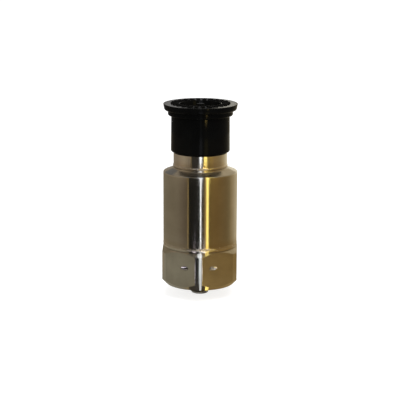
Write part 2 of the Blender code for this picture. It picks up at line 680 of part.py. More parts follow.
def make_disc_spring():
    outer = BOLT_HEAD_RADIUS + SPRING_DISH
    profile = [
        (BOLT_HOLE_RADIUS, SPRING_THICKNESS + SPRING_DISH),
        (outer, SPRING_THICKNESS),
        (outer, 0.0),
        (BOLT_HOLE_RADIUS, SPRING_DISH),
    ]
    settle(turned("disc_spring", profile, SPRING_STEEL, SPRING_LEVEL, SMALL_STEPS))


def make_bolt():
    """Socket-head bolt from the disc spring down into the base."""
    top = BOLT_SHANK + BOLT_HEAD_HEIGHT
    edge = BOLT_RADIUS / 5
    profile = [
        (0.0, top),
        (BOLT_HEAD_RADIUS - edge, top),
        (BOLT_HEAD_RADIUS, top - edge),
        (BOLT_HEAD_RADIUS, BOLT_SHANK),
        (BOLT_RADIUS, BOLT_SHANK),
        (BOLT_RADIUS, edge),
        (BOLT_RADIUS - edge, 0.0),
        (0.0, 0.0),
    ]
    level = BOLT_HEAD_LEVEL - BOLT_SHANK
    piece = turned("preload_bolt", profile, DARK_STEEL, level, SMALL_STEPS)
    socket = prism(HEX_SIDES, BOLT_SOCKET_FLATS / 2, top - BOLT_SOCKET_DEPTH, top + CUT_MARGIN)
    combine(piece, "bolt_socket", socket, "DIFFERENCE")
    settle(piece)


def make_housing_inside():
    """Plastic liner that carries the board, and the metal shield over both."""
    settle(washer("liner", LINER_BORE, LINER_RADIUS, LINER_TOP - LINER_LEVEL,
                  AMBER_PLASTIC, LINER_LEVEL))
    height = SHIELD_TOP - LINER_LEVEL
    profile = [
        (SHIELD_HOLE_RADIUS, height),
        (SHIELD_RADIUS, height),
        (SHIELD_RADIUS, 0.0),
        (SHIELD_BORE, 0.0),
        (SHIELD_BORE, height - SHIELD_WALL),
        (SHIELD_HOLE_RADIUS, height - SHIELD_WALL),
    ]
    settle(turned("shield", profile, TINPLATE, LINER_LEVEL, MEDIUM_STEPS))


def make_board():
    """Round circuit board and the components soldered to its upper face."""
    profile = [(0.0, BOARD_THICKNESS), (LINER_RADIUS, BOARD_THICKNESS), (LINER_RADIUS, 0.0), (0.0, 0.0)]
    settle(turned("circuit_board", profile, BOARD_GREEN, BOARD_LEVEL, MEDIUM_STEPS))
    level = BOARD_TOP + SEAT_GAP
    make_chip(level)
    capacitor = (CAPACITOR_LENGTH, CAPACITOR_WIDTH, CAPACITOR_HEIGHT)
    capacitor_ring = LINER_RADIUS - CAPACITOR_INSET
    for index, angle in enumerate(CAPACITOR_ANGLES, 1):
        spot = (capacitor_ring * cos(angle), capacitor_ring * sin(angle))
        settle(block(f"capacitor_{index}", capacitor, TANTALUM, level, spot))
    resistor = (RESISTOR_WIDTH, RESISTOR_LENGTH, RESISTOR_HEIGHT)
    for index in range(RESISTOR_COUNT):
        along = (index - (RESISTOR_COUNT - 1) / 2) * RESISTOR_PITCH
        spot = (along, RESISTOR_INSET - LINER_RADIUS)
        settle(block(f"resistor_{index + 1}", resistor, BLACK_INSULATOR, level, spot))


def make_chip(level):
    """Amplifier in a small outline package with legs on two sides."""
    size = (CHIP_LENGTH, CHIP_WIDTH, CHIP_HEIGHT)
    spot = (0.0, LINER_RADIUS - CHIP_INSET)
    piece = block("amplifier_chip", size, BLACK_INSULATOR, level, spot)
    legs = []
    leg = (CHIP_LEG_WIDTH, CHIP_LEG_REACH + FUSE_DEPTH, CHIP_LEG_THICKNESS)
    middle = CHIP_WIDTH / 2 + CHIP_LEG_REACH - leg[1] / 2
    for index in range(CHIP_LEG_COUNT):
        along = (index - (CHIP_LEG_COUNT - 1) / 2) * CHIP_LEG_PITCH
        for side in (-1, 1):
            legs.append(box(leg, (along, side * middle, CHIP_HEIGHT / 2)))
    combine(piece, "chip_legs", gather(legs), "UNION")
    settle(piece)


def make_leads():
    """Leads from the electrodes up to the board, and from the board up to the pins."""
    under_board = BOARD_LEVEL - SEAT_GAP
    tab_top = ELECTRODE_THICKNESS + SEAT_GAP
    lead("signal_lead", (LEAD_RING, 0.0, SIGNAL_LEVEL + tab_top), (LEAD_RING, 0.0, under_board),
         LEAD_RADIUS, RED_SLEEVE)
    lead("ground_lead", (-LEAD_RING, 0.0, GROUND_LEVEL + tab_top), (-LEAD_RING, 0.0, under_board),
         LEAD_RADIUS, BLACK_SLEEVE)
    cup_end = CUP_LEVEL + CUP_BORE_DEPTH - SEAT_GAP
    for side, spot in pin_spots():
        start = (PIN_LEAD_START if spot.x > 0 else -PIN_LEAD_START, 0.0, BOARD_TOP + SEAT_GAP)
        finish = RED_SLEEVE if side == "right" else BLACK_SLEEVE
        lead(f"pin_lead_{side}", start, (spot.x, 0.0, cup_end), PIN_LEAD_RADIUS, finish)


clear_scene()
SENSOR = new_collection("vibration_sensor")
CUTTERS = new_collection("cutters")
AXIS = bpy.data.objects.new("sensor_axis", None)
SENSOR.objects.link(AXIS)

STEEL = new_material("turned_stainless", (0.58, 0.54, 0.46), 1.0, 0.28)
DARK_STEEL = new_material("dark_steel", (0.12, 0.11, 0.10), 1.0, 0.4)
SPRING_STEEL = new_material("spring_steel", (0.32, 0.32, 0.34), 1.0, 0.35)
TUNGSTEN = new_material("tungsten_alloy", (0.36, 0.35, 0.36), 1.0, 0.45)
TINPLATE = new_material("tinplate", (0.66, 0.67, 0.68), 1.0, 0.3)
BRASS = new_material("brass_foil", (0.72, 0.55, 0.24), 1.0, 0.3)
GOLD = new_material("gold_plated_contact", (0.85, 0.64, 0.28), 1.0, 0.25)
CERAMIC = new_material("alumina", (0.88, 0.87, 0.83), 0.0, 0.5)
PIEZO = new_material("piezo_ceramic", (0.62, 0.55, 0.42), 0.0, 0.55)
BLACK_PLASTIC = new_material("black_moulded_plastic", (0.012, 0.012, 0.012), 0.0, 0.42)
BLACK_INSULATOR = new_material("black_insulator", (0.02, 0.02, 0.022), 0.0, 0.5)
AMBER_PLASTIC = new_material("amber_insulating_plastic", (0.55, 0.38, 0.18), 0.0, 0.45)
BOARD_GREEN = new_material("circuit_board_green", (0.03, 0.16, 0.06), 0.0, 0.4)
TANTALUM = new_material("tantalum_body", (0.75, 0.5, 0.1), 0.0, 0.5)
RED_SLEEVE = new_material("red_lead_sleeve", (0.45, 0.02, 0.02), 0.0, 0.45)
BLACK_SLEEVE = new_material("black_lead_sleeve", (0.015, 0.015, 0.015), 0.0, 0.45)

make_base()
make_stud()
make_can()
make_connector_shell()
make_insert()
make_pins()
make_stack()
make_housing_inside()
make_board()
make_leads()
make_cap()
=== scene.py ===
"""Finish, studio and camera for an industrial vibration sensor.

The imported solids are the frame. The outer pieces and those of the connector are replaced by finer
meshes of the same form, and everything gets a procedural material. Metres, +Z up.
"""
import json
from math import acos, atan2, cos, pi, radians, sin, tan

import bmesh
import bpy
from mathutils import Matrix, Vector, noise


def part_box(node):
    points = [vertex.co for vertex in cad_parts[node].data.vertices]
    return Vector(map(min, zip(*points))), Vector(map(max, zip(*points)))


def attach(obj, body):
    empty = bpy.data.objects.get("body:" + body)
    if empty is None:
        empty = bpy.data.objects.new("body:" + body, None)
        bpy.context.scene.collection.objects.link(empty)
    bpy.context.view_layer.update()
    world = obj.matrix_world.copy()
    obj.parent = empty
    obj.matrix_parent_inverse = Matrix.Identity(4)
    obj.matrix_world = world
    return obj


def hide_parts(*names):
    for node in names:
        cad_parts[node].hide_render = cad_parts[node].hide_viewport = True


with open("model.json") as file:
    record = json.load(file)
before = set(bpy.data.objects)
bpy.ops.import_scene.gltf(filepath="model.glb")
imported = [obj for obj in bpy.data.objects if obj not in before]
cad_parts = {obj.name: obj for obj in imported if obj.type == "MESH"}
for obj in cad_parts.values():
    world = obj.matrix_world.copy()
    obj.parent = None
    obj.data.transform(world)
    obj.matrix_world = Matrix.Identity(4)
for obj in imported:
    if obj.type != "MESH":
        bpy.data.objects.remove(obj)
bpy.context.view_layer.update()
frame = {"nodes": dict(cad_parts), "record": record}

MM = 0.001

# Mesh quality
FINE_STEPS = 240
PIN_STEPS = 64
DRILL_STEPS = 48
ROUND_STEPS = 4
BASE_ROUND_STEPS = 3
CAP_ROUND_STEPS = 6
PIN_ROUND_STEPS = 8
BEVEL_STEPS = 3
MERGE_DISTANCE = 0.0004 * MM
CREASE_ANGLE = radians(40)
CUT_MARGIN = 1.0 * MM
WALL_MARGIN = 0.01 * MM

# Rounds of edges that have none of their own
FAINT_ROUND = 0.05 * MM
FINE_ROUND = 0.1 * MM
SOFT_ROUND = 0.15 * MM
BROAD_ROUND = 0.2 * MM

# Corners of the solids' boxes, read from the frame
BASE_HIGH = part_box("hex_base")[1]
CAN_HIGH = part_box("can")[1]
SHELL_LOW, SHELL_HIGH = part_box("connector_shell")
CAP_LOW, CAP_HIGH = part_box("cap")
STUD_LOW, STUD_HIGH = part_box("mounting_stud")
INSERT_LOW, INSERT_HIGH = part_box("connector_insert")
PIN_LOW, PIN_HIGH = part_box("contact_pin_right")
SEAT_GAP = 0.3 * MM

# Can
CAN_RADIUS = 12.15 * MM
CAN_BORE = 10.95 * MM
CAN_ROOF = 2.0 * MM
CAN_HOLE = 7.7 * MM
SHOULDER_DROP = 1.25 * MM
LAND_RADIUS = 9.1 * MM
LAND_ROUND = 0.27 * MM
LAND_DRAFT = 0.02 * MM
LAND_WALL = 0.05 * MM
CAN_EDGE_ROUND = 0.12 * MM
SHOULDER_ROUND = 0.45 * MM
SEAM = 0.02 * MM

# Weld beads: their levels, then the ripples' pitch, rows and unevenness
LOWER_WELD_LOW = 13.2 * MM
LOWER_WELD_HIGH = 14.3 * MM
UPPER_WELD_LOW = 39.35 * MM
UPPER_WELD_HIGH = 40.2 * MM
LOWER_WELD_BULGE = 0.02 * MM
LOWER_WELD_RIPPLE = 0.09 * MM
UPPER_WELD_BULGE = 0.12 * MM
UPPER_WELD_RIPPLE = 0.1 * MM
WELD_PITCH = 0.55 * MM
WELD_MARGIN = 0.1 * MM
WELD_ROWS = 10
WELD_RIPPLE_STEPS = 6
WELD_DRIFT = 0.9
WELD_DRIFT_SCALE = 7.0
WELD_SWELL = 0.5
WELD_SWELL_SCALE = 23.0
WELD_NOISE_SPAN = 10 * MM
WELD_LEAN = 0.9
WELD_EVENNESS = 0.8
WELD_SHARPNESS = 0.7
WELD_SINK = 0.6

# Hexagonal base
HEX_SIDES = 6
HEX_HALF_FLATS = BASE_HIGH.x
HEX_CORNER_RADIUS = BASE_HIGH.y
HEX_SOFTNESS = 0.02 * MM
FLAT_STEPS = 26
CORNER_STEPS = 14
CORNER_BLEND = [radians(t) for t in (-0.5, -0.28, -0.12, 0.0, 0.12, 0.28, 0.5)]
FLAT_TILT = 0.02
BASE_EDGE_ROUND = 0.12 * MM
BASE_HEIGHT = 12.8 * MM
COLLAR_RADIUS = 12.2 * MM
COLLAR_HEIGHT = 0.2 * MM
COLLAR_ROUND = 0.06 * MM
BLEND_HEIGHT = 1.1 * MM
BASE_CHAMFER = 2.3 * MM
SPIGOT_RADIUS = 10.65 * MM
SPIGOT_TOP = 15.0 * MM
PAD_RADIUS = 7.15 * MM
BOLT_HOLE = 1.55 * MM
BOLT_FLOOR = 10.7 * MM
STUD_HOLE = 3.475 * MM
STUD_HOLE_DEPTH = 6.6 * MM
STUD_MOUTH_CHAMFER = 0.5 * MM
WIRE_HOLE_RADIUS = 0.7 * MM
WIRE_HOLE_HEIGHT = 7.6 * MM
WIRE_HOLE_SPREAD = 4.7 * MM
WIRE_HOLE_ROUND = 0.08 * MM
WIRE_HOLE_EDGE_ANGLE = radians(25)

# Threads: crest radius, pitch, depth, and the share of a flank that crest and root keep flat
STUD_RADIUS = 3.175 * MM
STUD_PITCH = 0.907 * MM
STUD_THREAD_DEPTH = 0.5 * MM
STUD_CHAMFER = 0.6 * MM
STUD_SOCKET_FLATS = 3.2 * MM
STUD_SOCKET_DEPTH = 2.6 * MM
SHELL_THREAD_RADIUS = 7.94 * MM
SHELL_THREAD_PITCH = 1.058 * MM
SHELL_THREAD_DEPTH = 0.55 * MM
SHELL_THREAD_CHAMFER = 0.5 * MM
THREAD_ROWS = 8
THREAD_SPARE_TURNS = 3
THREAD_FLAT = 0.14

# Connector
NECK_RADIUS = 8.8 * MM
THREAD_LENGTH = 12.8 * MM
RELIEF_LENGTH = 1.3 * MM
SHELL_BORE = 6.9 * MM
SHELL_WIREWAY = 5.5 * MM
SHELL_SPIGOT = 7.4 * MM
SHELL_MOUTH_ROUND = 0.12 * MM
KEYWAY_DEPTH = 0.42 * MM
KEYWAY_WIDTH = 1.5 * MM
MASTER_KEYWAY_WIDTH = 2.6 * MM
KEYWAY_ANGLES = [radians(a) for a in (90, 165, 215, 325, 15)]
KEYWAY_FLOOR_MARGIN = 1.5 * MM
INSERT_GROOVE_INSIDE = 0.9 * MM
INSERT_GROOVE_OUTSIDE = 0.5 * MM
INSERT_GROOVE_DEPTH = 0.2 * MM
PIN_OFFSET = 2.4 * MM
PIN_RADIUS = 0.785 * MM
PIN_TIP_ROUND = 0.7 * MM
CUP_RADIUS = 1.15 * MM
CUP_LENGTH = 2.4 * MM
CUP_BORE = 0.8 * MM
CUP_BORE_DEPTH = 1.6 * MM

# Cap
CAP_BORE = 8.24 * MM
CAP_THREAD_DEPTH = 0.45 * MM
CAP_THREAD_START = 1.2 * MM
CAP_THREAD_END = 1.6 * MM
CAP_THREAD_RUNOUT = 0.3 * MM
CAP_SKIRT_RADIUS = 9.66 * MM
CAP_DRAFT = 0.12 * MM
CAP_CROWN_LEVEL = 60.0 * MM
CAP_HOLLOW_TOP = 57.2 * MM
CAP_HOLLOW_ROUND = 0.3 * MM
CAP_FLANGE_HEIGHT = 2.1 * MM
CAP_FLANGE_ROUND = 0.8 * MM
CAP_FLANGE_DRAFT = 0.25 * MM
CAP_BEAD_RADIUS = 10.61 * MM
CAP_BEAD_HEIGHT = 1.15 * MM
CAP_BEAD_ROUND = 0.6 * MM
CAP_STEP_ROUND = 0.12 * MM
CAP_EDGE_ROUND = 0.15 * MM
CAP_FOOT_ROUND = 0.7 * MM
CAP_MOUTH_CHAMFER = 0.4 * MM
CAP_MOUTH_STEP = 0.1 * MM
CAP_RECESS_RADIUS = 6.66 * MM
CAP_RECESS_DRAFT = 0.25 * MM
CAP_RECESS_DEPTH = 1.7 * MM
CAP_RECESS_ROUND = 0.25 * MM
CAP_BOSS_RADIUS = 1.25 * MM
CAP_BOSS_DROP = 0.1 * MM
CAP_RIB_COUNT = 26
CAP_RIB_INNER = 7.16 * MM
CAP_RIB_OUTER = 9.76 * MM
CAP_RIB_WIDTH = 1.15 * MM
CAP_RIB_HEIGHT = 0.3 * MM
CAP_RIB_ROOT = 0.3 * MM
CAP_RIB_ROUND = 0.18 * MM
TOP_MARGIN = 0.02 * MM
TOP_FACING = 0.9

# Grain of the finishes, in features a metre; the drawn lines are stretched along the bar
LATHE_MARKS = 7000.0
LATHE_BANDS = 900.0
STEEL_CLOUDS = 160.0
STEEL_FLECKS = 2600.0
DRAWN_LINES = 4200.0
DRAWN_CLOUDS = 210.0
DRAWN_STRETCH = (1.0, 1.0, 0.06)
PLASTIC_TEXTURE = 9000.0
PLASTIC_CLOUDS = 260.0
METAL_CLOUDS = 400.0

# Heat tint beside the welds: its colour, and the level and reach of each
HEAT_TINT = (0.46, 0.35, 0.22, 1.0)
HEAT_TINTS = ((LOWER_WELD_HIGH, 2.2 * MM), (UPPER_WELD_HIGH, 2.0 * MM))

# Camera, fitted to the rims' ellipses in the photograph
CAMERA_DISTANCE = 449.02 * MM
CAMERA_HEIGHT = 126.57 * MM
CAMERA_AZIMUTH = radians(1.8)
CAMERA_PITCH = 0.2156
CAMERA_ROLL = 0.0038
CAMERA_LENS = 125.47
CAMERA_SHIFT = (-0.00045, -0.0032)
CAMERA_NEAR = 0.01
SENSOR_WIDTH = 36.0


def rounded(points, steps=ROUND_STEPS):
    """An outline of (radius, height) points from corners given as (radius, height, round)."""
    outline = []
    last = len(points) - 1
    for i, (radius, height, edge) in enumerate(points):
        here = Vector((radius, height))
        if not edge or i in (0, last):
            outline.append(here)
            continue
        back = Vector(points[i - 1][:2]) - here
        ahead = Vector(points[i + 1][:2]) - here
        half = back.angle(ahead) / 2
        reach = min(edge / tan(half), 0.45 * back.length, 0.45 * ahead.length)
        middle = (back.normalized() + ahead.normalized()).normalized()
        centre = here + middle * reach / cos(half)
        start = here + back.normalized() * reach - centre
        end = here + ahead.normalized() * reach - centre
        first = atan2(start.y, start.x)
        turn = (atan2(end.y, end.x) - first + pi) % (2 * pi) - pi
        for k in range(steps + 1):
            angle = first + turn * k / steps
            outline.append(centre + Vector((cos(angle), sin(angle))) * start.length)
    return outline


def around(angle, radius, height):
    """The point at an angle, a distance from the axis and a height."""
    return Vector((radius * cos(angle), radius * sin(angle), height))


def add_sheet(shape, columns, shift=0):
    """Adds a skin over columns of points that stand round the axis.

    At the seam the last column meets the first one shift points further along.
    """
    grid = [[shape.verts.new(point) for point in column] for column in columns]
    for i, column in enumerate(grid):
        after = grid[(i + 1) % len(grid)]
        jump = shift if i + 1 == len(grid) else 0
        for j in range(len(column) - 1 - jump):
            shape.faces.new((column[j], column[j + 1], after[j + 1 + jump], after[j + jump]))


def add_turned(shape, outline, steps):
    """Adds a skin turned from an outline."""
    angles = [2 * pi * i / steps for i in range(steps)]
    add_sheet(shape, [[around(a, p.x, p.y) for p in outline] for a in angles])


def add_thread(shape, crest, depth, pitch, low, high, steps, chamfer=0.0):
    """Adds a screw thread between two levels; a negative depth cuts it outwards, in a bore."""
    turns = int((high - low) / pitch) + THREAD_SPARE_TURNS
    start = low - THREAD_SPARE_TURNS / 2 * pitch
    columns = []
    for i in range(steps):
        angle = 2 * pi * i / steps
        column = []
        for j in range(turns * THREAD_ROWS + 1):
            height = start + pitch * (j / THREAD_ROWS + i / steps)
            flank = abs(j % THREAD_ROWS / THREAD_ROWS * 2 - 1)
            share = min(1.0, max(0.0, (flank - THREAD_FLAT) / (1 - 2 * THREAD_FLAT)))
            sink = abs(depth)
            if low < height < high:
                sink = max(share * sink, chamfer - min(height - low, high - height))
            height = min(high, max(low, height))
            radius = crest - sink if depth > 0 else crest + sink
            column.append(around(angle, radius, height))
        columns.append(column)
    add_sheet(shape, columns, THREAD_ROWS)


def add_bead(shape, radius, low, high, bulge, rise, steps):
    """Adds a weld bead of overlapping ripples between two levels of a turned side."""
    ripples = round(2 * pi * radius / WELD_PITCH)
    columns = []
    for i in range(steps):
        angle = 2 * pi * i / steps
        place = Vector((cos(angle), sin(angle), radius / WELD_NOISE_SPAN))
        drift = WELD_DRIFT * noise.noise(place * WELD_DRIFT_SCALE)
        swell = 1.0 + WELD_SWELL * noise.noise(place * WELD_SWELL_SCALE)
        column = []
        for j in range(WELD_ROWS + 1):
            share = j / WELD_ROWS
            across = 2 * share - 1
            phase = (ripples * i / steps + drift + WELD_LEAN * across * across) % 1.0
            crown = max(0.0, 1 - across * across)
            lift = bulge * crown * (WELD_EVENNESS + (1 - WELD_EVENNESS) * swell)
            crest = (1 - 2 * abs(phase - 0.5)) ** WELD_SHARPNESS - WELD_SINK
            out = radius + lift + rise * swell * crown * crest
            column.append(around(angle, out, high + (low - high) * share))
        columns.append(column)
    add_sheet(shape, columns)


def new_piece(name, shape, material, body, node):
    """Makes a closed mesh a piece that stands for a solid of the frame."""
    bmesh.ops.remove_doubles(shape, verts=shape.verts, dist=MERGE_DISTANCE)
    bmesh.ops.dissolve_degenerate(shape, dist=MERGE_DISTANCE, edges=shape.edges)
    bmesh.ops.recalc_face_normals(shape, faces=shape.faces)
    mesh = bpy.data.meshes.new(name)
    shape.to_mesh(mesh)
    shape.free()
    mesh.materials.append(material)
    piece = bpy.data.objects.new(name, mesh)
    bpy.context.scene.collection.objects.link(piece)
    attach(piece, body)
    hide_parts(node)
    return piece


def smooth(piece):
    """Smooth shading that stays flat on flats and crisp at sharp edges."""
    piece.data.shade_smooth()
    piece.data.set_sharp_from_angle(angle=CREASE_ANGLE)
    weighted = piece.modifiers.new("weighted_normals", "WEIGHTED_NORMAL")
    weighted.keep_sharp = True


def combine(piece, shape, operation):
    """Cuts or joins a piece with a shape, and keeps the result as the piece's mesh."""
    mesh = bpy.data.meshes.new("tool")
    shape.to_mesh(mesh)
    shape.free()
    tool = bpy.data.objects.new("tool", mesh)
    bpy.context.scene.collection.objects.link(tool)
    boolean = piece.modifiers.new("combine", "BOOLEAN")
    boolean.operation = operation
    boolean.solver = "EXACT"
    boolean.object = tool
    view = bpy.context.evaluated_depsgraph_get()
    made = bpy.data.meshes.new_from_object(piece.evaluated_get(view))
    old = piece.data
    piece.modifiers.clear()
    piece.data = made
    bpy.data.meshes.remove(old)
    bpy.data.objects.remove(tool, do_unlink=True)
    bpy.data.meshes.remove(mesh)
    made.name = piece.name


def prism(sides, flat_radius, low, high):
    """An upright prism, given by the distance of its flats from the axis."""
    shape = bmesh.new()
    corner = flat_radius / cos(pi / sides)
    bmesh.ops.create_cone(shape, cap_ends=True, segments=sides, radius1=corner, radius2=corner,
                          depth=high - low)
    bmesh.ops.translate(shape, vec=(0.0, 0.0, (low + high) / 2), verts=shape.verts)
    return shape


def box(size, centre, turn, edge_round):
    """A box whose upper edges are rounded, turned about the axis after it is moved."""
    shape = bmesh.new()
    bmesh.ops.create_cube(shape, size=1.0)
    bmesh.ops.scale(shape, vec=size, verts=shape.verts)
    if edge_round:
        upper = [e for e in shape.edges if any(v.co.z > 0 for v in e.verts)]
        bmesh.ops.bevel(shape, geom=upper, offset=edge_round, segments=BEVEL_STEPS, profile=0.5,
                        affect="EDGES")
    bmesh.ops.translate(shape, vec=centre, verts=shape.verts)
    bmesh.ops.rotate(shape, matrix=Matrix.Rotation(turn, 3, "Z"), verts=shape.verts)
    return shape


def gather(shapes):
    """Joins several separate shapes into one."""
    whole = bmesh.new()
    for shape in shapes:
        part = bpy.data.meshes.new("part")
        shape.to_mesh(part)
        shape.free()
        whole.from_mesh(part)
        bpy.data.meshes.remove(part)
    return whole


def plug(node, inputs):
    """Sets a node's inputs, by name or number, to plain values or to other nodes' outputs."""
    for key, value in inputs.items():
        if isinstance(value, bpy.types.NodeSocket):
            node.id_data.links.new(value, node.inputs[key])
        else:
            node.inputs[key].default_value = value


def add_node(tree, kind, inputs=None, **settings):
    node = tree.nodes.new(kind)
    for key, value in settings.items():
        setattr(node, key, value)
    plug(node, inputs or {})
    return node


def new_material(name):
    """A material, its Principled shader and its node tree."""
    material = bpy.data.materials.new(name)
    material.use_nodes = True
    return material, material.node_tree.nodes["Principled BSDF"], material.node_tree


def mix(tree, factor, first, second):
    """Blends two colours by a factor."""
    inputs = {0: factor, 6: first, 7: second}
    return add_node(tree, "ShaderNodeMix", inputs, data_type="RGBA").outputs[2]


def ramp(tree, value, first, last):
    """Tones that follow a value from one (position, grey or colour) stop to the other."""
    node = add_node(tree, "ShaderNodeValToRGB", {"Fac": value})
    for element, (position, tone) in zip(node.color_ramp.elements, (first, last)):
        element.position = position
        element.color = (*tone, 1.0) if isinstance(tone, tuple) else (tone, tone, tone, 1.0)
    return node.outputs[0]


def maths(tree, operation, first, second=0.0):
    return add_node(tree, "ShaderNodeMath", {0: first, 1: second}, operation=operation).outputs[0]


def own_place(tree):
    """Each point's place in the frame, in metres."""
    return add_node(tree, "ShaderNodeTexCoord").outputs["Object"]


def height_and_radius(tree, spot):
    """Height and distance from the axis at each point."""
    x, y, z = add_node(tree, "ShaderNodeSeparateXYZ", {0: spot}).outputs
    square = maths(tree, "ADD", maths(tree, "MULTIPLY", x, x), maths(tree, "MULTIPLY", y, y))
    return z, maths(tree, "SQRT", square)


def grain(tree, spot, scale, detail=3.0):
    """Cloudy variation with the given number of features a metre."""
    inputs = {"Vector": spot, "Scale": scale, "Detail": detail}
    return add_node(tree, "ShaderNodeTexNoise", inputs).outputs["Fac"]


def rings(tree, along, scale, detail):
    """Variation along one measure only, so that it stands as rings round a turned piece."""
    inputs = {"W": along, "Scale": scale, "Detail": detail}
    return add_node(tree, "ShaderNodeTexNoise", inputs, noise_dimensions="1D").outputs["Fac"]


def bump(tree, height, strength, distance, normal=None):
    """Relief from a height, over another bump's normal where one is given."""
    inputs = {"Height": height, "Strength": strength, "Distance": distance}
    if normal:
        inputs["Normal"] = normal
    return add_node(tree, "ShaderNodeBump", inputs).outputs["Normal"]


def darker(colour, share):
    return tuple(share * c for c in colour)


def turned_steel(name, bright, deep, roughness, marks, pull=0.85):
    """Stainless steel off the lathe, with rings of fine marks and a heat tint beside the welds.

    The pull is how far the marks draw reflections out along the axis.
    """
    material, shader, tree = new_material(name)
    spot = own_place(tree)
    height, radius = height_and_radius(tree, spot)
    along = maths(tree, "ADD", height, radius)
    cloud = grain(tree, spot, STEEL_CLOUDS)
    fleck = grain(tree, spot, STEEL_FLECKS, 5.0)
    tone = ramp(tree, cloud, (0.35, 0.0), (0.7, 1.0))
    colour = mix(tree, tone, (*deep, 1.0), (*bright, 1.0))
    bands = ramp(tree, rings(tree, along, LATHE_BANDS, 2.0), (0.3, 0.0), (0.75, 0.25))
    colour = mix(tree, bands, colour, (*deep, 1.0))
    for level, reach in HEAT_TINTS:
        away = maths(tree, "ABSOLUTE", maths(tree, "SUBTRACT", height, level))
        near = ramp(tree, maths(tree, "DIVIDE", away, reach), (0.25, 0.5), (1.0, 0.0))
        uneven = maths(tree, "MULTIPLY", near, maths(tree, "ADD", cloud, 0.2))
        colour = mix(tree, uneven, colour, HEAT_TINT)
    fine = bump(tree, rings(tree, along, LATHE_MARKS, 4.0), marks, 0.004 * MM)
    tangent = add_node(tree, "ShaderNodeTangent", direction_type="RADIAL", axis="Z")
    plug(shader, {
        "Base Color": colour,
        "Roughness": ramp(tree, fleck, (0.3, roughness * 0.88), (0.75, roughness * 1.15)),
        "Metallic": 1.0,
        "Anisotropic": pull,
        "Anisotropic Rotation": 0.25,
        "Tangent": tangent.outputs[0],
        "Normal": bump(tree, cloud, 0.12, 0.02 * MM, fine),
    })
    return material


def drawn_steel(name, bright, deep):
    """The hexagon bar's own flats: smooth drawn steel with faint marks along the bar."""
    material, shader, tree = new_material(name)
    spot = own_place(tree)
    stretched = add_node(tree, "ShaderNodeMapping", {"Vector": spot, "Scale": DRAWN_STRETCH},
                         vector_type="POINT")
    lines = grain(tree, stretched.outputs[0], DRAWN_LINES, 4.0)
    cloud = grain(tree, spot, DRAWN_CLOUDS)
    tone = ramp(tree, cloud, (0.3, 0.0), (0.75, 1.0))
    fine = bump(tree, lines, 0.05, 0.001 * MM)
    plug(shader, {
        "Base Color": mix(tree, tone, (*deep, 1.0), (*bright, 1.0)),
        "Roughness": ramp(tree, lines, (0.3, 0.22), (0.75, 0.27)),
        "Metallic": 1.0,
        "Normal": bump(tree, cloud, 0.1, 0.01 * MM, fine),
    })
    return material


def moulded_plastic(name, colour, roughness, texture=0.25, gloss=0.3):
    """Moulded plastic with a fine spark-eroded texture and slight gloss changes."""
    material, shader, tree = new_material(name)
    spot = own_place(tree)
    cloud = grain(tree, spot, PLASTIC_CLOUDS)
    fine = bump(tree, grain(tree, spot, PLASTIC_TEXTURE, 2.0), texture, 0.006 * MM)
    plug(shader, {
        "Base Color": ramp(tree, cloud, (0.3, darker(colour, 0.75)), (0.7, colour)),
        "Roughness": ramp(tree, cloud, (0.3, roughness * 0.85), (0.75, roughness * 1.15)),
        "Specular IOR Level": gloss,
        "Normal": bump(tree, cloud, 0.1, 0.03 * MM, fine),
    })
    return material


def plain_metal(name, colour, roughness, mark_scale):
    """Metal of a small inner piece: cloudy tone, fine marks and uneven gloss."""
    material, shader, tree = new_material(name)
    spot = own_place(tree)
    cloud = grain(tree, spot, METAL_CLOUDS)
    marks = grain(tree, spot, mark_scale, 5.0)
    plug(shader, {
        "Base Color": ramp(tree, cloud, (0.3, darker(colour, 0.8)), (0.7, colour)),
        "Roughness": ramp(tree, marks, (0.25, roughness * 0.8), (0.75, roughness * 1.2)),
        "Metallic": 1.0,
        "Normal": bump(tree, marks, 0.2, 0.005 * MM),
    })
    return material


def plain_solid(name, colour, roughness, speck_scale, speck_strength):
    """Ceramic, board or sleeve of an inner piece: specks of a darker tone and a fine texture."""
    material, shader, tree = new_material(name)
    specks = grain(tree, own_place(tree), speck_scale, 6.0)
    deep = darker(colour, 1 - speck_strength)
    plug(shader, {
        "Base Color": ramp(tree, specks, (0.35, deep), (0.65, colour)),
        "Roughness": ramp(tree, specks, (0.3, roughness * 0.85), (0.7, roughness * 1.1)),
        "Normal": bump(tree, specks, 0.15, 0.01 * MM),
    })
    return material


# Finishes of the outer and connector pieces, then those of the inner ones by the record's slots
TURNED = turned_steel("turned_stainless", bright=(0.66, 0.63, 0.58), deep=(0.58, 0.55, 0.50),
                      roughness=0.18, marks=0.25)
WELD = turned_steel("weld_metal", bright=(0.9, 0.87, 0.83), deep=(0.74, 0.70, 0.64),
                    roughness=0.25, marks=0.1, pull=0.0)
FLATS = drawn_steel("drawn_stainless", bright=(0.60, 0.57, 0.51), deep=(0.50, 0.47, 0.42))
DARK_STEEL = turned_steel("dark_steel", bright=(0.26, 0.24, 0.21), deep=(0.17, 0.16, 0.14),
                          roughness=0.3, marks=0.3)
GOLD = turned_steel("gold_plating", bright=(0.95, 0.72, 0.33), deep=(0.85, 0.62, 0.26),
                    roughness=0.2, marks=0.15)
BLACK_PLASTIC = moulded_plastic("black_moulded_plastic", (0.0052, 0.0052, 0.005), roughness=0.14,
                                texture=0.06, gloss=0.03)
GLOSSY_PLASTIC = moulded_plastic("cap_top_plastic", (0.0045, 0.0045, 0.0043), roughness=0.2,
                                 texture=0.08)
MATTE_PLASTIC = moulded_plastic("cap_rib_plastic", (0.004, 0.004, 0.004), roughness=0.85,
                                texture=0.4, gloss=0.05)
INSERT_PLASTIC = moulded_plastic("connector_insulator", (0.016, 0.016, 0.017), roughness=0.5,
                                 texture=0.4)

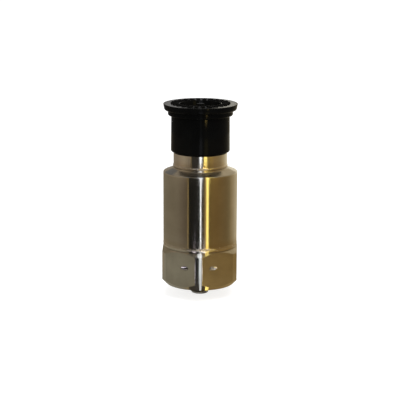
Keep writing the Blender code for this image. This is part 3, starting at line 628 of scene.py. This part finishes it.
INNER_MATERIALS = {
    "spring_steel": plain_metal("inner_spring_steel", (0.32, 0.32, 0.34), 0.3, 2500.0),
    "tungsten": plain_metal("inner_tungsten", (0.36, 0.35, 0.36), 0.4, 4000.0),
    "tinplate": plain_metal("inner_tinplate", (0.66, 0.67, 0.68), 0.3, 1800.0),
    "brass": plain_metal("inner_brass", (0.72, 0.55, 0.24), 0.28, 2600.0),
    "dark_steel": plain_metal("inner_black_bolt", (0.13, 0.12, 0.12), 0.4, 3200.0),
    "alumina": plain_solid("inner_alumina", (0.88, 0.87, 0.83), 0.5, 5000.0, 0.08),
    "piezo_ceramic": plain_solid("inner_piezo_ceramic", (0.62, 0.55, 0.42), 0.6, 6000.0, 0.25),
    "black_insulator": plain_solid("inner_black_package", (0.02, 0.02, 0.022), 0.5, 7000.0, 0.3),
    "amber_plastic": plain_solid("inner_amber_film", (0.55, 0.38, 0.18), 0.4, 900.0, 0.15),
    "board": plain_solid("inner_board", (0.03, 0.16, 0.06), 0.4, 1500.0, 0.3),
    "tantalum": plain_solid("inner_capacitor_case", (0.75, 0.5, 0.1), 0.5, 3000.0, 0.15),
    "red_sleeve": plain_solid("inner_red_sleeve", (0.45, 0.02, 0.02), 0.45, 2200.0, 0.2),
    "black_sleeve": plain_solid("inner_black_sleeve", (0.015, 0.015, 0.015), 0.45, 2200.0, 0.3),
}


def paint_weld(piece, low, high, radius):
    """Gives the bead's own faces the weld material."""
    piece.data.materials.append(WELD)
    for face in piece.data.polygons:
        middle = face.center
        if low < middle.z < high and middle.xy.length > radius - WELD_MARGIN:
            face.material_index = 1


def make_can():
    steps = WELD_RIPPLE_STEPS * round(2 * pi * CAN_RADIUS / WELD_PITCH)
    foot = BASE_HEIGHT + SEAM
    top = CAN_HIGH.z
    shape = bmesh.new()
    add_turned(shape, rounded([
        (CAN_HOLE, top, 0.0),
        (LAND_RADIUS, top, LAND_ROUND),
        (LAND_RADIUS - LAND_DRAFT, top - LAND_ROUND - LAND_WALL, FINE_ROUND),
        (CAN_RADIUS, top - LAND_ROUND - SHOULDER_DROP, SHOULDER_ROUND),
        (CAN_RADIUS, LOWER_WELD_HIGH, 0.0),
    ]), steps)
    add_bead(shape, CAN_RADIUS, LOWER_WELD_LOW, LOWER_WELD_HIGH, LOWER_WELD_BULGE, LOWER_WELD_RIPPLE,
             steps)
    add_turned(shape, rounded([
        (CAN_RADIUS, LOWER_WELD_LOW, 0.0),
        (CAN_RADIUS, foot, CAN_EDGE_ROUND),
        (CAN_BORE, foot, FINE_ROUND),
        (CAN_BORE, top - CAN_ROOF, BROAD_ROUND),
        (CAN_HOLE, top - CAN_ROOF, FINE_ROUND),
        (CAN_HOLE, top, 0.0),
    ]), steps)
    piece = new_piece("can_body", shape, TURNED, "sensor", "can")
    paint_weld(piece, LOWER_WELD_LOW, LOWER_WELD_HIGH, CAN_RADIUS)
    smooth(piece)


def keyway_slots(low, high):
    """Slots centred on the bore's wall, the first one wider."""
    slots = []
    for index, angle in enumerate(KEYWAY_ANGLES):
        width = KEYWAY_WIDTH if index else MASTER_KEYWAY_WIDTH
        size = (2 * KEYWAY_DEPTH, width, high - low)
        slots.append(box(size, (SHELL_BORE, 0.0, (low + high) / 2), angle, 0.0))
    return gather(slots)


def make_connector_shell():
    steps = WELD_RIPPLE_STEPS * round(2 * pi * NECK_RADIUS / WELD_PITCH)
    foot = CAN_HIGH.z + SEAM
    rim = SHELL_HIGH.z
    neck_top = rim - THREAD_LENGTH
    thread_low = neck_top + RELIEF_LENGTH
    ledge = INSERT_LOW.z - SEAT_GAP
    root = SHELL_THREAD_RADIUS - SHELL_THREAD_DEPTH
    shape = bmesh.new()
    add_thread(shape, SHELL_THREAD_RADIUS, SHELL_THREAD_DEPTH, SHELL_THREAD_PITCH, thread_low, rim,
               steps, SHELL_THREAD_CHAMFER)
    add_turned(shape, rounded([
        (root, thread_low, 0.0),
        (root, neck_top, SOFT_ROUND),
        (NECK_RADIUS, neck_top, BROAD_ROUND),
        (NECK_RADIUS, UPPER_WELD_HIGH, 0.0),
    ]), steps)
    add_bead(shape, NECK_RADIUS, UPPER_WELD_LOW, UPPER_WELD_HIGH, UPPER_WELD_BULGE, UPPER_WELD_RIPPLE,
             steps)
    add_turned(shape, rounded([
        (NECK_RADIUS, UPPER_WELD_LOW, 0.0),
        (NECK_RADIUS, foot, CAN_EDGE_ROUND),
        (SHELL_SPIGOT, foot, FINE_ROUND),
        (SHELL_SPIGOT, SHELL_LOW.z, FINE_ROUND),
        (SHELL_WIREWAY, SHELL_LOW.z, FINE_ROUND),
        (SHELL_WIREWAY, ledge, FINE_ROUND),
        (SHELL_BORE, ledge, FINE_ROUND),
        (SHELL_BORE, rim, SHELL_MOUTH_ROUND),
        (root, rim, 0.0),
    ]), steps)
    piece = new_piece("connector_body", shape, TURNED, "sensor", "connector_shell")
    floor = INSERT_HIGH.z + KEYWAY_FLOOR_MARGIN
    combine(piece, keyway_slots(floor, rim + CUT_MARGIN), "DIFFERENCE")
    paint_weld(piece, UPPER_WELD_LOW, UPPER_WELD_HIGH, NECK_RADIUS)
    smooth(piece)


def soft_least(a, b, softness):
    """The smaller of two radii, blended where they are nearly the same."""
    close = max(softness - abs(a - b), 0.0) / softness
    return min(a, b) - close * close * softness / 4


def hex_angles():
    """Angles of the base's columns, counted from the middle of a flat, over one sixth of a turn."""
    edge = acos(HEX_HALF_FLATS / HEX_CORNER_RADIUS)
    whole = 2 * pi / HEX_SIDES
    near = [edge + turn for turn in CORNER_BLEND]
    flat = [near[0] * (2 * i / FLAT_STEPS - 1) for i in range(FLAT_STEPS + 1)]
    corner = [near[-1] + (whole - 2 * near[-1]) * i / CORNER_STEPS for i in range(CORNER_STEPS + 1)]
    return flat + near[1:-1] + corner + [whole - a for a in reversed(near[1:-1])]


def make_base():
    cone_foot = BASE_HEIGHT - COLLAR_HEIGHT - BLEND_HEIGHT
    cone_slope = BLEND_HEIGHT / (HEX_CORNER_RADIUS - COLLAR_RADIUS)
    chamfer_foot = HEX_CORNER_RADIUS - BASE_CHAMFER
    columns = []
    for side in range(HEX_SIDES):
        for local in hex_angles():
            wrapped = (local + pi / HEX_SIDES) % (2 * pi / HEX_SIDES) - pi / HEX_SIDES
            flat = HEX_HALF_FLATS / cos(wrapped)
            reach = soft_least(flat, HEX_CORNER_RADIUS, HEX_SOFTNESS)
            outline = rounded([
                (0.0, STUD_HOLE_DEPTH, 0.0),
                (STUD_HOLE, STUD_HOLE_DEPTH, 0.0),
                (STUD_HOLE, STUD_MOUTH_CHAMFER, FAINT_ROUND),
                (STUD_HOLE + STUD_MOUTH_CHAMFER, 0.0, FAINT_ROUND),
                (chamfer_foot, 0.0, BASE_EDGE_ROUND),
                (reach, reach - chamfer_foot, BASE_EDGE_ROUND),
                (reach, cone_foot + (HEX_CORNER_RADIUS - reach) * cone_slope, FINE_ROUND),
                (COLLAR_RADIUS, BASE_HEIGHT - COLLAR_HEIGHT, COLLAR_ROUND),
                (COLLAR_RADIUS, BASE_HEIGHT, FAINT_ROUND),
                (SPIGOT_RADIUS, BASE_HEIGHT, FAINT_ROUND),
                (SPIGOT_RADIUS, SPIGOT_TOP, FINE_ROUND),
                (PAD_RADIUS, SPIGOT_TOP, FAINT_ROUND),
                (PAD_RADIUS, BASE_HIGH.z, FAINT_ROUND),
                (BOLT_HOLE, BASE_HIGH.z, 0.0),
                (BOLT_HOLE, BOLT_FLOOR, 0.0),
                (0.0, BOLT_FLOOR, 0.0),
            ], BASE_ROUND_STEPS)
            angle = side * 2 * pi / HEX_SIDES + local
            columns.append([around(angle, p.x, p.y) for p in outline])
    shape = bmesh.new()
    add_sheet(shape, columns)
    piece = new_piece("base_body", shape, TURNED, "sensor", "hex_base")
    drill_wire_hole(piece)
    piece.data.materials.append(FLATS)
    for face in piece.data.polygons:
        out = face.normal
        if abs(out.z) < FLAT_TILT and abs(face.center.dot(out) - HEX_HALF_FLATS) < WALL_MARGIN:
            face.material_index = 1
    smooth(piece)


def drill_wire_hole(piece):
    """Drills the lock-wire hole across the front corner and breaks the edges of its mouths."""
    half_corner = pi / HEX_SIDES
    offset = (HEX_HALF_FLATS - WIRE_HOLE_SPREAD * sin(half_corner)) / cos(half_corner)
    drill = bmesh.new()
    bmesh.ops.create_cone(drill, cap_ends=True, segments=DRILL_STEPS, radius1=WIRE_HOLE_RADIUS,
                          radius2=WIRE_HOLE_RADIUS, depth=4 * WIRE_HOLE_SPREAD)
    bmesh.ops.rotate(drill, matrix=Matrix.Rotation(pi / 2, 3, "Y"), verts=drill.verts)
    bmesh.ops.translate(drill, vec=(0.0, -offset, WIRE_HOLE_HEIGHT), verts=drill.verts)
    combine(piece, drill, "DIFFERENCE")
    shape = bmesh.new()
    shape.from_mesh(piece.data)
    rim = []
    for edge in shape.edges:
        away = [Vector((v.co.y + offset, v.co.z - WIRE_HOLE_HEIGHT)).length for v in edge.verts]
        on_wall = all(abs(d - WIRE_HOLE_RADIUS) < WALL_MARGIN for d in away)
        sharp = len(edge.link_faces) == 2 and edge.calc_face_angle(0.0) > WIRE_HOLE_EDGE_ANGLE
        if on_wall and sharp:
            rim.append(edge)
    bmesh.ops.bevel(shape, geom=rim, offset=WIRE_HOLE_ROUND, segments=2, profile=0.5, affect="EDGES")
    shape.to_mesh(piece.data)
    shape.free()


def make_stud():
    low, high = STUD_LOW.z, STUD_HIGH.z
    root = STUD_RADIUS - STUD_THREAD_DEPTH
    shape = bmesh.new()
    add_thread(shape, STUD_RADIUS, STUD_THREAD_DEPTH, STUD_PITCH, low, high, FINE_STEPS, STUD_CHAMFER)
    add_turned(shape, [Vector((root, low)), Vector((0.0, low))], FINE_STEPS)
    add_turned(shape, [Vector((0.0, high)), Vector((root, high))], FINE_STEPS)
    piece = new_piece("stud_screw", shape, DARK_STEEL, "sensor", "mounting_stud")
    socket = prism(HEX_SIDES, STUD_SOCKET_FLATS / 2, low - CUT_MARGIN, low + STUD_SOCKET_DEPTH)
    combine(piece, socket, "DIFFERENCE")
    smooth(piece)


def make_insert():
    low, high = INSERT_LOW.z, INSERT_HIGH.z
    radius = INSERT_HIGH.x
    shape = bmesh.new()
    add_turned(shape, rounded([
        (0.0, high, 0.0),
        (radius - INSERT_GROOVE_INSIDE, high, FAINT_ROUND),
        (radius - INSERT_GROOVE_INSIDE, high - INSERT_GROOVE_DEPTH, FAINT_ROUND),
        (radius - INSERT_GROOVE_OUTSIDE, high - INSERT_GROOVE_DEPTH, FAINT_ROUND),
        (radius - INSERT_GROOVE_OUTSIDE, high, FAINT_ROUND),
        (radius, high, SOFT_ROUND),
        (radius, low, FINE_ROUND),
        (0.0, low, 0.0),
    ]), FINE_STEPS)
    piece = new_piece("connector_insulator", shape, INSERT_PLASTIC, "sensor", "connector_insert")
    for side in (-1, 1):
        drill = prism(DRILL_STEPS, PIN_RADIUS + SEAT_GAP, low - CUT_MARGIN, high + CUT_MARGIN)
        bmesh.ops.translate(drill, vec=(side * PIN_OFFSET, 0.0, 0.0), verts=drill.verts)
        combine(piece, drill, "DIFFERENCE")
    smooth(piece)


def make_pins():
    low, high = PIN_LOW.z, PIN_HIGH.z
    for side, sign in (("left", -1), ("right", 1)):
        shape = bmesh.new()
        add_turned(shape, rounded([
            (0.0, high, 0.0),
            (PIN_RADIUS, high, PIN_TIP_ROUND),
            (PIN_RADIUS, low + CUP_LENGTH, FAINT_ROUND),
            (CUP_RADIUS, low + CUP_LENGTH, FINE_ROUND),
            (CUP_RADIUS, low, FAINT_ROUND),
            (CUP_BORE, low, FAINT_ROUND),
            (CUP_BORE, low + CUP_BORE_DEPTH, FINE_ROUND),
            (0.0, low + CUP_BORE_DEPTH, 0.0),
        ], PIN_ROUND_STEPS), PIN_STEPS)
        bmesh.ops.translate(shape, vec=(sign * PIN_OFFSET, 0.0, 0.0), verts=shape.verts)
        smooth(new_piece(f"contact_{side}", shape, GOLD, "sensor", f"contact_pin_{side}"))


def make_cap():
    foot = CAP_LOW.z
    crown = CAP_CROWN_LEVEL
    flange_radius = CAP_HIGH.x
    flange_foot = crown - CAP_FLANGE_HEIGHT
    draft = CAP_FLANGE_DRAFT * CAP_FLANGE_HEIGHT / (CAP_FLANGE_HEIGHT - CAP_FLANGE_ROUND)
    bead_foot = flange_foot - CAP_BEAD_HEIGHT - CAP_BEAD_ROUND
    recess_floor = crown - CAP_RECESS_DEPTH
    thread_low = foot + CAP_THREAD_START
    thread_high = CAP_HOLLOW_TOP - CAP_THREAD_END
    groove = CAP_BORE + CAP_THREAD_DEPTH
    shape = bmesh.new()
    add_turned(shape, rounded([
        (0.0, crown - CAP_BOSS_DROP, 0.0),
        (CAP_BOSS_RADIUS, crown - CAP_BOSS_DROP, BROAD_ROUND),
        (CAP_BOSS_RADIUS, recess_floor, BROAD_ROUND),
        (CAP_RECESS_RADIUS - CAP_RECESS_DRAFT, recess_floor, CAP_RECESS_ROUND),
        (CAP_RECESS_RADIUS, crown, SOFT_ROUND),
        (flange_radius, crown, CAP_EDGE_ROUND),
        (flange_radius - draft, flange_foot, CAP_FLANGE_ROUND),
        (CAP_BEAD_RADIUS, flange_foot, CAP_STEP_ROUND),
        (CAP_BEAD_RADIUS, bead_foot, CAP_BEAD_ROUND),
        (CAP_SKIRT_RADIUS - CAP_DRAFT, bead_foot, SOFT_ROUND),
        (CAP_SKIRT_RADIUS, foot, CAP_FOOT_ROUND),
        (CAP_BORE + CAP_MOUTH_CHAMFER, foot, SOFT_ROUND),
        (CAP_BORE + CAP_MOUTH_STEP, foot + CAP_MOUTH_CHAMFER, FINE_ROUND),
        (groove, thread_low, 0.0),
    ], CAP_ROUND_STEPS), FINE_STEPS)
    add_thread(shape, CAP_BORE, -CAP_THREAD_DEPTH, SHELL_THREAD_PITCH, thread_low, thread_high,
               FINE_STEPS)
    add_turned(shape, rounded([
        (groove, thread_high, 0.0),
        (CAP_BORE, thread_high + CAP_THREAD_RUNOUT, FINE_ROUND),
        (CAP_BORE, CAP_HOLLOW_TOP, CAP_HOLLOW_ROUND),
        (0.0, CAP_HOLLOW_TOP, 0.0),
    ]), FINE_STEPS)
    piece = new_piece("protective_cap", shape, BLACK_PLASTIC, "cap", "cap")
    combine(piece, grip_ribs(crown), "UNION")
    piece.data.materials.append(GLOSSY_PLASTIC)
    piece.data.materials.append(MATTE_PLASTIC)
    for face in piece.data.polygons:
        if face.center.z > crown + TOP_MARGIN:
            face.material_index = 2
        elif face.normal.z > TOP_FACING and face.center.z > crown - TOP_MARGIN:
            face.material_index = 1
    smooth(piece)


def grip_ribs(crown):
    """Plain raised ribs set evenly round the head."""
    size = (CAP_RIB_OUTER - CAP_RIB_INNER, CAP_RIB_WIDTH, CAP_RIB_HEIGHT + CAP_RIB_ROOT)
    middle = ((CAP_RIB_INNER + CAP_RIB_OUTER) / 2, 0.0, crown - CAP_RIB_ROOT + size[2] / 2)
    turns = [2 * pi * i / CAP_RIB_COUNT for i in range(CAP_RIB_COUNT)]
    return gather([box(size, middle, turn, CAP_RIB_ROUND) for turn in turns])


def dress_inner_nodes():
    """Gives each solid that is still shown the material of its slot."""
    slots = {row["node"]: row["material_slot"] for row in frame["record"]["subparts"]}
    for name, node in frame["nodes"].items():
        if node.hide_render:
            continue
        node.data.materials.clear()
        node.data.materials.append(INNER_MATERIALS[slots[name]])


make_can()
make_connector_shell()
make_base()
make_stud()
make_insert()
make_pins()
make_cap()
dress_inner_nodes()

# Studio: a white floor and backdrop, cards that the steel reflects, a lamp and the camera
FLOOR_LEVEL = STUD_LOW.z
FLOOR_SIZE = 3.0
FLOOR_GLOW = 0.78
FLOOR_COLOUR = (0.5, 0.5, 0.5, 1.0)
WHITE = (1.0, 1.0, 1.0, 1.0)
BACKDROP_FILL = 0.6
LAMP_PLACE = (0.1, -0.1, 0.6)
LAMP_SIZE = 0.5
LAMP_POWER = 2.5

# The cards stand as a tent round the sensor, with a round ceiling over it
TENT_RADIUS = 32.0 * MM
CARD_RADIUS = 31.0 * MM
TENT_FOOT_RADIUS = 5.0 * MM
TENT_FOOT_LIFT = 0.05 * MM
TENT_STEP = radians(2)
CEILING_LEVEL = 150.0 * MM
CEILING_RADIUS = 150.0 * MM
CEILING_HOLE = 0.5 * MM
HALO_INNER = 46.0 * MM
HALO_OUTER = 80.0 * MM
HALO_LEVEL = CEILING_LEVEL - 1.0 * MM

# Levels at which the rings of cards begin and end
BOWL_TOP = FLOOR_LEVEL + 2.0 * MM
BASE_RING_TOP = 8.5 * MM
NECK_RING_LOW = 34.3 * MM
NECK_RING_TOP = 46.0 * MM
GLINT_FOOT = 51.2 * MM
GLINT_LOW = 52.5 * MM
GLINT_TOP = 53.8 * MM
HOLE_CARD_LOW = -1.5 * MM
HOLE_CARD_TOP = 6.0 * MM
CROWN_RING_LOW = 64.0 * MM
TENT_TOP = 95.0 * MM

# The light of the cards. Each ring lists angles in degrees from the camera's side, those to its
# right above zero, and the light there. Between two angles it fades from one to the other, and an
# angle given twice is an edge. In front most rings have four strips from left to right: a dark one,
# a white one, a dark one and a straw one. The walls are greyer on the left and browner on the right.
NIGHT = (0.012, 0.012, 0.010)
UMBER = (0.05, 0.035, 0.02)
SHADE = (0.03, 0.03, 0.03)
STRAW = (2.2, 1.75, 0.5)

# Wall at the base's height, and the bowl under it that the bottom chamfer and the stud see
BASE_RING = [
    (-168, (0.34, 0.29, 0.21)), (-100, (0.34, 0.29, 0.21)),
    (-100, (0.30, 0.28, 0.215)), (-29, (0.30, 0.28, 0.215)),
    (-29, NIGHT), (-1.9, (0.02, 0.02, 0.02)),
    (-1.9, (1.2, 1.3, 1.4)), (3.4, (1.2, 1.3, 1.4)),
    (3.4, (0.22, 0.17, 0.07)), (7.6, UMBER), (14, UMBER),
    (14, STRAW), (22.5, STRAW),
    (22.5, (0.285, 0.188, 0.07)), (110, (0.285, 0.188, 0.07)),
    (110, (0.42, 0.34, 0.2)), (168, (0.42, 0.34, 0.2)),
]
BOWL_RING = [
    (-168, (0.34, 0.29, 0.21)), (-100, (0.30, 0.28, 0.215)),
    (-40, (0.27, 0.25, 0.19)), (-23.5, (0.30, 0.24, 0.13)),
    (-23.5, (0.06, 0.05, 0.035)), (-1.0, (0.06, 0.055, 0.05)),
    (-1.0, (1.0, 1.05, 1.1)), (3.0, (1.0, 1.05, 1.1)),
    (3.0, UMBER), (11.4, (0.1, 0.07, 0.03)),
    (11.4, STRAW), (18.5, (1.6, 1.2, 0.35)),
    (18.5, (0.30, 0.20, 0.075)), (60, (0.32, 0.22, 0.09)),
    (168, (0.42, 0.34, 0.2)),
]

# Wall at the can's height
CAN_RING = [
    (-168, (0.23, 0.195, 0.14)), (-100, (0.22, 0.185, 0.125)),
    (-60, (0.215, 0.178, 0.122)), (-44, (0.16, 0.125, 0.085)), (-31.5, (0.12, 0.09, 0.055)),
    (-31.5, (0.62, 0.45, 0.18)), (-30, (0.62, 0.45, 0.18)),
    (-30, NIGHT), (0.8, (0.015, 0.014, 0.012)),
    (0.8, (3.9, 4.1, 4.4)), (2.2, (3.9, 4.1, 4.4)),
    (2.2, UMBER), (11.4, (0.08, 0.055, 0.025)),
    (11.4, (0.34, 0.21, 0.075)), (15.8, (0.5, 0.34, 0.12)),
    (15.8, STRAW), (21.1, STRAW),
    (21.1, (0.15, 0.10, 0.033)), (30, (0.21, 0.13, 0.042)), (45, (0.20, 0.123, 0.042)),
    (73, (0.195, 0.132, 0.055)), (85, (0.23, 0.17, 0.08)), (97, (0.36, 0.27, 0.14)),
    (120, (0.54, 0.45, 0.29)), (168, (0.54, 0.46, 0.31)),
]

# Wall at the height of the shoulder and the neck
NECK_RING = [
    (-168, (0.30, 0.27, 0.22)), (-100, (0.31, 0.25, 0.18)),
    (-80, (0.40, 0.32, 0.23)), (-65, (0.45, 0.37, 0.26)), (-51, (0.37, 0.30, 0.21)),
    (-36, (0.28, 0.22, 0.16)),
    (-36, (0.5, 0.36, 0.15)), (-34, (0.5, 0.36, 0.15)),
    (-34, (0.038, 0.034, 0.026)), (-2.8, (0.038, 0.034, 0.026)),
    (-2.8, (2.4, 2.55, 2.8)), (6.2, (2.4, 2.55, 2.8)),
    (6.2, (0.14, 0.11, 0.07)), (13.5, (0.14, 0.11, 0.07)),
    (13.5, STRAW), (25, STRAW),
    (25, (0.40, 0.28, 0.08)), (41, (0.45, 0.29, 0.075)), (53, (0.34, 0.215, 0.075)),
    (67, (0.31, 0.21, 0.085)), (83, (0.33, 0.24, 0.12)), (102, (0.55, 0.44, 0.25)),
    (132, (0.85, 0.78, 0.60)), (168, (0.85, 0.78, 0.60)),
]

# Wall at the cap's height, with a small sparkle for its skirt
CAP_RING = [
    (-180, (0.28, 0.28, 0.28)), (-158, (0.28, 0.27, 0.25)),
    (-148, (0.17, 0.165, 0.155)), (-130, (0.15, 0.148, 0.142)),
    (-100, (0.20, 0.17, 0.13)), (-72, (0.18, 0.16, 0.13)), (-40, (0.13, 0.12, 0.09)),
    (-31, (0.13, 0.12, 0.09)),
    (-31, (0.045, 0.043, 0.04)), (-1.5, (0.045, 0.043, 0.04)),
    (-1.5, (0.75, 0.8, 0.88)), (4.2, (0.75, 0.8, 0.88)),
    (4.2, (0.06, 0.05, 0.03)), (39, (0.08, 0.07, 0.05)),
    (70, (0.25, 0.21, 0.14)), (110, (0.40, 0.34, 0.23)), (156, (0.50, 0.42, 0.28)),
    (156, (0.28, 0.28, 0.27)), (180, (0.28, 0.28, 0.28)),
]
GLINT = [(14.5, NIGHT), (18.5, (66.0, 46.0, 13.0)), (22.5, NIGHT)]
DIM_GLINT = [(15, NIGHT), (18.5, (22.0, 16.0, 5.0)), (22, NIGHT)]

# Small bright cards for the mouths of the lock-wire hole
LEFT_HOLE = [(-17, (3.6, 3.4, 3.6)), (-12, (3.2, 3.0, 3.8))]
RIGHT_HOLE = [(7.6, (4.6, 4.4, 4.6)), (13.8, (4.6, 4.4, 4.6))]

# Wall above the cap, the ceiling, and a bright arc under the ceiling that the cap's top sees
CROWN_RING = [
    (-180, SHADE), (-172, SHADE), (-166, (0.50, 0.49, 0.47)), (-157, (0.50, 0.49, 0.47)),
    (-157, (0.25, 0.21, 0.16)), (-110, (0.35, 0.30, 0.23)),
    (-74, (0.48, 0.43, 0.35)),
    (-74, (0.9, 0.6, 0.25)), (-68, (0.9, 0.6, 0.25)),
    (-68, (0.07, 0.07, 0.06)), (-11, (0.07, 0.07, 0.06)),
    (-11, (2.8, 2.95, 3.2)), (10, (2.8, 2.95, 3.2)),
    (10, (0.14, 0.11, 0.07)), (29, (0.14, 0.11, 0.07)),
    (29, STRAW), (47, STRAW),
    (47, (0.30, 0.23, 0.12)), (110, (0.40, 0.32, 0.20)),
    (110, (0.50, 0.42, 0.28)), (157, (0.50, 0.42, 0.28)),
    (157, (1.0, 0.95, 0.82)), (166, (1.0, 0.95, 0.82)), (172, SHADE), (180, SHADE),
]
CEILING = [
    (-180, (0.24, 0.20, 0.15)), (-25, (0.24, 0.20, 0.15)),
    (-25, (0.07, 0.07, 0.06)), (2.0, (0.16, 0.155, 0.14)),
    (2.0, (1.0, 1.05, 1.15)), (6.0, (1.0, 1.05, 1.15)),
    (6.0, (0.08, 0.075, 0.05)), (15, (0.08, 0.07, 0.05)),
    (15, (0.30, 0.22, 0.12)), (90, (0.30, 0.22, 0.12)),
    (90, (0.65, 0.57, 0.40)), (180, (0.65, 0.57, 0.40)),
]
HALO = [(-110, (0.75, 0.73, 0.66)), (110, (0.75, 0.73, 0.66))]

# Name, lower edge and upper edge, both as radius and level, and light of each ring
RINGS = [
    ("bowl", (TENT_FOOT_RADIUS, FLOOR_LEVEL + TENT_FOOT_LIFT), (TENT_RADIUS, BOWL_TOP), BOWL_RING),
    ("base", (TENT_RADIUS, BOWL_TOP), (TENT_RADIUS, BASE_RING_TOP), BASE_RING),
    ("can", (TENT_RADIUS, BASE_RING_TOP), (TENT_RADIUS, NECK_RING_LOW), CAN_RING),
    ("neck", (TENT_RADIUS, NECK_RING_LOW), (TENT_RADIUS, NECK_RING_TOP), NECK_RING),
    ("cap", (TENT_RADIUS, NECK_RING_TOP), (TENT_RADIUS, CROWN_RING_LOW), CAP_RING),
    ("glint", (CARD_RADIUS, GLINT_LOW), (CARD_RADIUS, GLINT_TOP), GLINT),
    ("dim_glint", (CARD_RADIUS, GLINT_FOOT), (CARD_RADIUS, GLINT_LOW), DIM_GLINT),
    ("left_hole", (CARD_RADIUS, HOLE_CARD_LOW), (CARD_RADIUS, HOLE_CARD_TOP), LEFT_HOLE),
    ("right_hole", (CARD_RADIUS, HOLE_CARD_LOW), (CARD_RADIUS, HOLE_CARD_TOP), RIGHT_HOLE),
    ("crown", (TENT_RADIUS, CROWN_RING_LOW), (TENT_RADIUS, TENT_TOP), CROWN_RING),
    ("ceiling", (CEILING_HOLE, CEILING_LEVEL), (CEILING_RADIUS, CEILING_LEVEL), CEILING),
    ("halo", (HALO_INNER, HALO_LEVEL), (HALO_OUTER, HALO_LEVEL), HALO),
]


def glow_material():
    """Gives off the light that a card's corners carry."""
    material = bpy.data.materials.new("card_light")
    material.use_nodes = True
    tree = material.node_tree
    tree.nodes.clear()
    light = add_node(tree, "ShaderNodeAttribute", attribute_name="light")
    glow = add_node(tree, "ShaderNodeEmission", {"Color": light.outputs["Color"]})
    add_node(tree, "ShaderNodeOutputMaterial", {0: glow.outputs[0]})
    return material


def stage_object(name, shape, material):
    """Makes a shape an object of the studio."""
    mesh = bpy.data.meshes.new(name)
    shape.to_mesh(mesh)
    shape.free()
    mesh.materials.append(material)
    prop = bpy.data.objects.new(name, mesh)
    bpy.context.scene.collection.objects.link(prop)
    return prop


def make_ring(name, low_edge, high_edge, stops, material):
    """A ring of cards that only reflections see, between two edges given as radius and level."""
    shape = bmesh.new()
    light = shape.verts.layers.float_color.new("light")
    for (first, start_colour), (last, end_colour) in zip(stops, stops[1:]):
        if first == last:
            continue
        count = max(1, round(radians(last - first) / TENT_STEP))
        rows = []
        for i in range(count + 1):
            share = i / count
            turn = radians(first + (last - first) * share) + CAMERA_AZIMUTH - pi / 2
            row = [shape.verts.new(around(turn, *edge)) for edge in (low_edge, high_edge)]
            for vert in row:
                vert[light] = (*Vector(start_colour).lerp(Vector(end_colour), share), 1.0)
            rows.append(row)
        for one, two in zip(rows, rows[1:]):
            shape.faces.new((one[0], two[0], two[1], one[1]))
    ring = stage_object(name, shape, material)
    for ray in ("camera", "diffuse", "shadow", "transmission", "volume_scatter"):
        setattr(ring, f"visible_{ray}", False)


def seen_outright(tree):
    """1 for the camera's rays, reflections and what is seen through a piece, and 0 for other light."""
    path = add_node(tree, "ShaderNodeLightPath").outputs
    shown = maths(tree, "MAXIMUM", path["Is Camera Ray"], path["Is Glossy Ray"])
    return maths(tree, "MAXIMUM", shown, path["Is Transmission Ray"])


def make_floor():
    """A floor that glows just enough to look white, and still takes the sensor's shadow."""
    material, shader, tree = new_material("pale_floor")
    plug(shader, {
        "Base Color": FLOOR_COLOUR,
        "Roughness": 0.9,
        "Specular IOR Level": 0.0,
        "Emission Color": WHITE,
        "Emission Strength": maths(tree, "MULTIPLY", seen_outright(tree), FLOOR_GLOW),
    })
    shape = bmesh.new()
    bmesh.ops.create_grid(shape, x_segments=1, y_segments=1, size=FLOOR_SIZE / 2)
    bmesh.ops.translate(shape, vec=(0.0, 0.0, FLOOR_LEVEL), verts=shape.verts)
    stage_object("floor", shape, material)


def make_world():
    """A white backdrop that gives the sensor less light than it shows."""
    world = bpy.data.worlds.new("studio")
    bpy.context.scene.world = world
    world.use_nodes = True
    tree = world.node_tree
    levels = {"Value": seen_outright(tree), "To Min": BACKDROP_FILL, "To Max": 1.0}
    strength = add_node(tree, "ShaderNodeMapRange", levels).outputs[0]
    plug(tree.nodes["Background"], {"Color": WHITE, "Strength": strength})


def make_lamp():
    """A soft lamp over the sensor that its steel doesn't mirror."""
    data = bpy.data.lights.new("soft_top", "AREA")
    data.shape = "SQUARE"
    data.size = LAMP_SIZE
    data.energy = LAMP_POWER
    lamp = bpy.data.objects.new("soft_top", data)
    lamp.location = LAMP_PLACE
    lamp.rotation_euler = (-Vector(LAMP_PLACE)).to_track_quat("-Z", "Y").to_euler()
    lamp.visible_glossy = False
    bpy.context.scene.collection.objects.link(lamp)


def make_camera():
    """The photograph's camera: lens, place, pitch and a slight roll."""
    data = bpy.data.cameras.new("camera")
    data.sensor_width = SENSOR_WIDTH
    data.lens = CAMERA_LENS
    data.shift_x, data.shift_y = CAMERA_SHIFT
    data.clip_start = CAMERA_NEAR
    camera = bpy.data.objects.new("camera", data)
    spot = Matrix.Translation((CAMERA_DISTANCE * sin(CAMERA_AZIMUTH),
                               -CAMERA_DISTANCE * cos(CAMERA_AZIMUTH), CAMERA_HEIGHT))
    turn = Matrix.Rotation(CAMERA_AZIMUTH, 4, "Z")
    pitch = Matrix.Rotation(pi / 2 - CAMERA_PITCH, 4, "X")
    roll = Matrix.Rotation(CAMERA_ROLL, 4, "Z")
    camera.matrix_world = spot @ turn @ pitch @ roll
    bpy.context.scene.collection.objects.link(camera)
    bpy.context.scene.camera = camera


card_light = glow_material()
for name, low_edge, high_edge, stops in RINGS:
    make_ring(f"{name}_cards", low_edge, high_edge, stops, card_light)
make_floor()
make_world()
make_lamp()
make_camera()
bpy.context.scene.view_settings.view_transform = "Standard"
